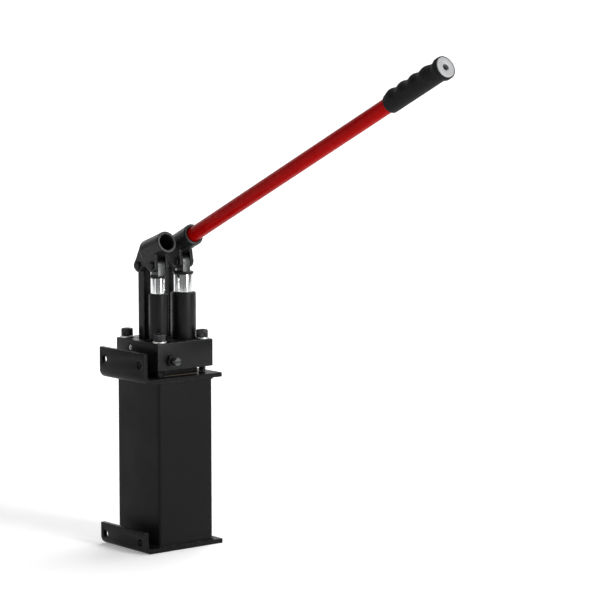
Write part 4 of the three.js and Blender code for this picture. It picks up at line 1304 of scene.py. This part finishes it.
class HANDPUMP_OT_elements(Operator):
    """Makes the two barrels, their seals, the chromed plungers and the plunger heads"""

    bl_idname = "handpump.elements"
    bl_label = "Barrels and Plungers"

    def execute(self, context):
        settings = context.scene.handpump_linkage
        for side in SIDES:
            rod_low, rod_high = corners_of(f"{side}_plunger")
            radius = (rod_high.x - rod_low.x) / 2
            self.barrel(side, settings, radius)
            self.seals(side, radius)
            self.plunger(side, radius)
            self.head(side, settings)
        return {"FINISHED"}

    def barrel(self, side, settings, rod_radius):
        """A barrel with a thread below its shoulder and a seat for the seals in its mouth."""
        low, high = corners_of(f"{side}_barrel")
        centre, outer, tall = (low + high) / 2, (high.x - low.x) / 2, high.z - low.z
        spigot, thread = corners_of("pump_block")[1].z - low.z, outer - settings.shoulder
        bore, seal = rod_radius + 0.00015, rod_radius + settings.seal_width
        seat = tall - settings.seal_depth
        outline = [
            (bore, 0), (thread - 0.001, 0), (thread, 0.001), (thread, spigot + 0.0002),
            (outer - 0.0006, spigot + 0.0002), (outer, spigot + 0.0008), (outer, tall - 0.0012),
            (outer - 0.0012, tall), (seal + 0.0004, tall), (seal, tall - 0.0005), (seal, seat), (bore, seat),
        ]
        place = along(UP, (centre.x, centre.y, low.z))
        barrel = turned(f"{side}_pump_barrel", outline, place, soft=0.0002)
        dressed(barrel, finish(blackened_steel), "black_steel", "root", f"{side}_barrel")

    def seals(self, side, rod_radius):
        """A plunger's seal, and above it the wiper ring with its lip."""
        centre = middle_of(f"{side}_barrel")
        low, high = corners_of(f"{side}_rod_seal")
        inner, outer = rod_radius + 0.0001, (high.x - low.x) / 2
        place = along(UP, (centre.x, centre.y, low.z))
        ring = turned(f"{side}_plunger_seal", square_ring(inner, outer, 0, high.z - low.z), place)
        dressed(ring, finish(nitrile), "seal_rubber", "root", f"{side}_rod_seal")
        low, high = corners_of(f"{side}_wiper_ring")
        tall, lip = high.z - low.z, rod_radius + 0.0011
        outline = [(inner, 0), (outer, 0), (outer, tall - 0.0012), (lip, tall - 0.0002), (inner, tall)]
        place = along(UP, (centre.x, centre.y, low.z))
        ring = turned(f"{side}_plunger_wiper", outline, place)
        dressed(ring, finish(nitrile), "seal_rubber", "root", f"{side}_wiper_ring")

    def plunger(self, side, radius):
        """The chromed rod, chamfered at its lower end."""
        low, high = corners_of(f"{side}_plunger")
        centre, span = (low + high) / 2, high.z - low.z
        place = along(UP, (centre.x, centre.y, low.z))
        outline = [(0, 0), (radius - 0.001, 0), (radius, 0.001), (radius, span), (0, span)]
        piston = turned(f"{side}_chromed_plunger", outline, place, soft=0.0001)
        dressed(piston, finish(hard_chrome), "hard_chrome", f"{side}_plunger", f"{side}_plunger")

    def head(self, side, settings):
        """A plunger's head: a collar and a tongue, whose long hole holds the lever's pin."""
        low, high = corners_of(f"{side}_plunger_head")
        centre, disc, tall = (low + high) / 2, (high.x - low.x) / 2, settings.collar
        place = along(UP, (centre.x, centre.y, low.z))
        plate = turned("collar", chamfered(disc, tall, 0.0007), place, soft=0.00015)
        r, rise = settings.tongue, middle_of(f"{side}_plunger_pin").z - low.z
        foot = [(r + 0.0012, tall - 0.001), (r + 0.0005, tall + 0.0008), (r, tall + 0.002)]
        outline = [(-y, z) for y, z in foot[:1]] + foot + arc((0, rise), r, 0, 180, 28)
        outline += [(-y, z) for y, z in reversed(foot[1:])]
        half = min(settings.tongue_half, disc - 0.001)
        upright = Matrix.Translation((centre.x - half, centre.y, low.z)) @ SIDEWAYS
        blade = bevelled(prism("tongue", outline, 2 * half, upright), 0.0004, 2)
        slack, hole_radius = settings.slack, settings.pin + settings.ease
        slot = arc((slack, rise), hole_radius, -90, 90, 20) + arc((-slack, rise), hole_radius, 90, 270, 20)
        wide = Matrix.Translation((centre.x - 2 * half, centre.y, low.z)) @ SIDEWAYS
        blade = combined(blade, [prism("slot", slot, 4 * half, wide)])
        plate.data.materials.append(finish(blackened_steel))
        blade.data.materials.append(finish(dull_steel))
        head = joined(f"{side}_plunger_clevis_tongue", [plate, blade])
        dressed(head, None, "black_steel", f"{side}_plunger", f"{side}_plunger_head")


# ---- Links and levers ---------------------------------------------------------------------------


def sideways(x):
    """A matrix that lays an outline of (y, z) points in the plane at x, extruding towards +X."""
    return Matrix.Translation((x, 0, 0)) @ SIDEWAYS


def lever_frame(side, settings):
    """Where a lever's own frame stands at rest, and where its plunger pin is in it."""
    rear = joint_place(f"{side}_lever_swing")
    front = middle_of(f"{side}_plunger_pin")
    run = Vector((rear.y - front.y, front.z - rear.z))
    drop = math.radians(settings.pin_drop)
    angle = math.atan2(run.y, run.x) + drop
    place = Matrix.Translation(rear) @ Matrix.Rotation(-angle, 4, "X")
    return place, (-run.length * math.cos(drop), -run.length * math.sin(drop))


def headed_pin(name, node, settings, place):
    """A headed pin along X with a flat clip ring at its plain end."""
    low, high = corners_of(node)
    span, head = high.x - low.x, (high.z - low.z) / 2
    tall, r = settings.pin_head, settings.pin
    outline = [
        (0, 0), (head - 0.0008, 0), (head, 0.0006), (head, tall - 0.0002), (head - 0.0003, tall),
        (r, tall), (r, span - 0.0007), (r - 0.0007, span), (0, span),
    ]
    from_head = place @ along(RIGHT, (-span / 2, 0, 0))
    pin = turned(name, outline, from_head, soft=0.00015, segments=64)
    at_end = place @ along(RIGHT, (span / 2 - 0.0016, 0, 0))
    clip = turned("clip", square_ring(r - 0.0002, r + 0.0014, 0, 0.0009), at_end, soft=0.0001, segments=64)
    return joined(name, [pin, clip])


class HANDPUMP_OT_links(Operator):
    """Makes the two rear links"""

    bl_idname = "handpump.links"
    bl_label = "Links"

    def execute(self, context):
        settings = context.scene.handpump_linkage
        for side in SIDES:
            self.link(side, settings)
        return {"FINISHED"}

    def link(self, side, settings):
        """A flat bar with round ends and a narrower waist, with a hole at each end."""
        base = joint_place(f"{side}_link_rock")
        run = joint_place(f"{side}_lever_swing") - base
        reach, r, waist = run.length, settings.link_end, settings.link_waist
        turn = math.degrees(math.asin(waist / r))
        outline = arc((0, 0), r, 90 + turn, 450 - turn, 36)
        outline += [(waist, math.sqrt(r * r - waist * waist) + 0.0001)]
        outline += arc((0, reach), r, turn - 90, 270 - turn, 36)
        low, high = corners_of(f"{side}_link")
        half = (high.x - low.x) / 2
        lean = Matrix.Rotation(-math.atan2(run.y, run.z), 4, "X")
        foot = Matrix.Translation((base.x - half, base.y, base.z)) @ lean
        bar = bevelled(prism(f"{side}_rear_link", outline, 2 * half, foot @ SIDEWAYS), 0.0008, 3)
        bar = combined(bar, [
            rod("hole", settings.pin + 0.0001, 0.04, foot @ along(RIGHT, (-0.01, 0, height)))
            for height in (0, reach)
        ])
        dressed(bar, finish(blackened_steel), "black_steel", f"{side}_link", f"{side}_link")


class HANDPUMP_OT_levers(Operator):
    """Makes the two cast lever sockets with their ears, and their pins"""

    bl_idname = "handpump.levers"
    bl_label = "Lever Sockets"

    def execute(self, context):
        settings = context.scene.handpump_linkage
        for side in SIDES:
            place, front = lever_frame(side, settings)
            self.socket(side, settings, place, front)
            for name, node, at in (
                ("plunger_cross_pin", "plunger_pin", place @ Matrix.Translation((0, *front))),
                ("link_cross_pin", "link_top_pin", place),
            ):
                pin = headed_pin(f"{side}_{name}", f"{side}_{node}", settings, at)
                dressed(pin, finish(blackened_steel), "black_steel", f"{side}_lever", f"{side}_{node}")
        return {"FINISHED"}

    def socket(self, side, settings, place, front):
        """A cast socket for the handle, with two ears that hold the pins; its mouth is faced bright."""
        long = getattr(settings, f"{side}_length")
        mouth = (0, -settings.behind - long, settings.rise)
        r = settings.socket
        outline = [(0, 0.0002), (r, 0.0002), (r, long - 0.0025), (r - 0.0025, long), (0, long)]
        tube = turned("tube", outline, along(BACK, mouth), soft=0.001)
        er = settings.ear_radius
        outline = [(front[0] - 1.75 * er, settings.rise), (front[0] - er, front[1])]
        outline += arc(front, er, 180, 360 - math.degrees(0.35), 24)[1:]
        outline += [(0.45 * front[0], 0.5 * front[1])]
        outline += arc((0, 0), er, 180 + math.degrees(0.6), 432, 30)
        outline += [(-settings.behind, settings.rise + 0.5 * r)]
        inside, thick = settings.gap, settings.ear
        ears = [prism("ear", outline, thick, sideways(x)) for x in (-inside - thick, inside)]
        body = combined(tube, ears, "UNION")
        rounding = body.modifiers.new("rounding", "REMESH")
        rounding.mode = "VOXEL"
        rounding.voxel_size = settings.voxel
        rounding.use_smooth_shade = True
        smooth = body.modifiers.new("smooth", "SMOOTH")
        smooth.factor = 0.5
        smooth.iterations = 7
        body = settled(body)
        body.name = f"{side}_lever_socket_cast"
        body.data.materials.clear()
        body.data.materials.append(finish(cast_black))
        deep, bore = long - settings.back_wall, settings.bore
        wide = bore + settings.mouth
        outline = [(0, -0.01), (wide, -0.01), (wide, 0.0), (bore, 0.0014), (bore, deep - 0.002), (0, deep)]
        facing = block_between(
            "facing", (-0.03, mouth[1] - 0.01, mouth[2] - 0.03),
            (0.03, mouth[1] + settings.facing, mouth[2] + 0.03),
        )
        facing.data.materials.append(finish(faced_iron))
        cutters = [turned("bore", outline, along(BACK, mouth), soft=0.0), facing]
        for y, z in (front, (0, 0)):
            cutters.append(rod("hole", settings.pin + 0.00025, 0.06, along(RIGHT, (-0.03, y, z))))
        body = combined(body, cutters)
        body.data.transform(place)
        dressed(body, None, "black_steel", f"{side}_lever", f"{side}_lever_socket", angle=42)


# ---- Handle -------------------------------------------------------------------------------------


class HANDPUMP_OT_handle(Operator):
    """Makes the handle tube, the finger grip and the end cap"""

    bl_idname = "handpump.handle"
    bl_label = "Handle"

    def execute(self, context):
        settings, linkage = context.scene.handpump_handle, context.scene.handpump_linkage
        place, _ = lever_frame("right", linkage)
        mouth = place @ Matrix.Translation((0, -linkage.behind - linkage.right_length, linkage.rise))
        out = mouth @ Matrix.Rotation(math.radians(90), 4, "X")
        axis = (out.to_3x3() @ Vector((0, 0, 1))).normalized()
        start = out.translation

        def reach(node, near, far):
            """Where a round node begins and ends along the handle, from its radii at the two ends."""
            low, high = corners_of(node)
            first = (high.y - near * axis.z - start.y) / axis.y
            last = (low.y + far * axis.z - start.y) / axis.y
            return first, last

        low, high = corners_of("handle_tube")
        r = (high.x - low.x) / 2
        first, last = reach("handle_tube", r, r)
        inner, span = r - settings.wall, last - first
        outline = chamfered(r, span, 0.0006, inner)
        tube = turned("handle_red_tube", outline, out @ Matrix.Translation((0, 0, first)), soft=0.0002)
        dressed(tube, finish(red_enamel), "red_paint", "handle", "handle_tube")

        low, high = corners_of("handle_grip")
        widest = (high.x - low.x) / 2
        first, last = reach("handle_grip", settings.start_radius, widest)
        place = out @ Matrix.Translation((0, 0, first))
        self.grip(settings, place, r + 0.0001, min(widest, settings.flange), last - first)

        low, high = corners_of("handle_end_cap")
        wide, plug, hole = (high.x - low.x) / 2, inner - 0.00025, settings.cap_hole
        first, last = reach("handle_end_cap", plug, wide)
        face = last - settings.cap_plate
        outline = [
            (hole, first), (plug - 0.0004, first), (plug, first + 0.0004), (plug, face),
            (wide - 0.0003, face), (wide, face + 0.0003), (wide, last - 0.0007), (wide - 0.0007, last),
            (hole + 0.0005, last), (hole, last - 0.0005),
        ]
        cap = turned("handle_grey_cap", outline, out, soft=0.00012)
        grey = turned_grey(context.scene.handpump_finishes, out @ Vector((0, 0, last)), axis)
        dressed(cap, grey, "grey_cap", "handle", "handle_end_cap")
        return {"FINISHED"}

    def grip(self, settings, place, bore, flange, span):
        """The rubber grip: finger bumps on one side, a thick end, and the cap's recess."""
        r = settings.grip
        dip = span - settings.flange_length - 0.003
        crown = dip - settings.neck
        upwards = math.radians(90 + settings.bump_turn)

        def fingered(angle, height, radius):
            if radius < r - 0.0004 or not 0.001 < height < dip:
                return 0
            facing = max(0.0, math.cos(angle - upwards)) ** 1.2
            if height > crown:
                waist = math.sin(math.pi * (height - crown) / settings.neck) ** 2
                return -settings.neck_depth * waist * facing
            share = (height - 0.001) / (crown - 0.001)
            wave = (0.5 - 0.5 * math.cos(FULL * settings.bumps * share)) ** 0.75
            return settings.bump * (1.15 - 0.25 * share) * wave * facing

        outline = [(bore, 0), (bore + 0.0006, 0), (r - 0.0009, 0), (r - 0.0003, 0.0003), (r, 0.0009)]
        steps = 120
        outline += [(r, 0.001 + (dip - 0.001) * k / steps) for k in range(1, steps + 1)]
        rise = 10
        for k in range(1, rise + 1):
            t = k / rise
            outline.append((r + (flange - r) * t * t * (3 - 2 * t), dip + 0.003 * t))
        end = dip + 0.003
        pocket, floor = settings.recess_radius, span - settings.recess
        outline += [
            (flange, end + 0.0025), (flange, span - 0.0016), (flange - 0.0002, span - 0.0008),
            (flange - 0.0007, span - 0.0002), (flange - 0.0013, span), (pocket + 0.0003, span),
            (pocket, span - 0.0003), (pocket, floor), (bore, floor),
        ]
        grip = turned("handle_finger_grip", outline, place, soft=0.0, ripple=fingered)
        dressed(grip, finish(grip_rubber), "grip_rubber", "handle", "handle_grip", angle=60)


# ---- Inner pieces -------------------------------------------------------------------------------


class HANDPUMP_OT_inside(Operator):
    """Gives the pieces inside the tank and the block their finishes"""

    bl_idname = "handpump.inside"
    bl_label = "Inner Pieces"

    def execute(self, context):
        for node in (
            "suction_pipe", "suction_strainer", "left_inlet_ball", "right_inlet_ball",
            "outlet_ball", "outlet_spring", "relief_ball", "relief_spring",
        ):
            brass = node == "suction_strainer"
            maker, slot = (plain_brass, "brass") if brass else (bright_steel, "bright_steel")
            piece = frame["nodes"][node]
            piece.data.materials.clear()
            piece.data.materials.append(finish(maker))
            piece.data.shade_smooth()
        return {"FINISHED"}


# ---- Panel and registration ---------------------------------------------------------------------

STEPS = (
    HANDPUMP_OT_stage, HANDPUMP_OT_tank, HANDPUMP_OT_block, HANDPUMP_OT_screws, HANDPUMP_OT_fittings,
    HANDPUMP_OT_elements, HANDPUMP_OT_links, HANDPUMP_OT_levers, HANDPUMP_OT_handle, HANDPUMP_OT_inside,
)
GROUPS = {
    "handpump_stage": HandPumpStage, "handpump_finishes": HandPumpFinishes, "handpump_tank": HandPumpTank,
    "handpump_block": HandPumpBlock, "handpump_fittings": HandPumpFittings,
    "handpump_linkage": HandPumpLinkage, "handpump_handle": HandPumpHandle,
}


class HANDPUMP_PT_panel(Panel):
    """Sizes, colours and steps of the hand pump"""

    bl_idname = "HANDPUMP_PT_panel"
    bl_label = "Hand Pump"
    bl_space_type = "VIEW_3D"
    bl_region_type = "UI"
    bl_category = "Hand Pump"

    def draw(self, context):
        for step in STEPS:
            self.layout.operator(step.bl_idname)
        for name, group in GROUPS.items():
            box = self.layout.box()
            for key in group.__annotations__:
                box.prop(getattr(context.scene, name), key)


def register():
    for group in GROUPS.values():
        bpy.utils.register_class(group)
    for name, group in GROUPS.items():
        setattr(bpy.types.Scene, name, PointerProperty(type=group))
    for made in (*STEPS, HANDPUMP_PT_panel):
        bpy.utils.register_class(made)


def unregister():
    for made in reversed((*STEPS, HANDPUMP_PT_panel)):
        bpy.utils.unregister_class(made)
    for name in GROUPS:
        delattr(bpy.types.Scene, name)
    for group in reversed(GROUPS.values()):
        bpy.utils.unregister_class(group)


def main():
    register()
    for step in STEPS:
        group, name = step.bl_idname.split(".")
        getattr(getattr(bpy.ops, group), name)()


if __name__ == "__main__":
    main()
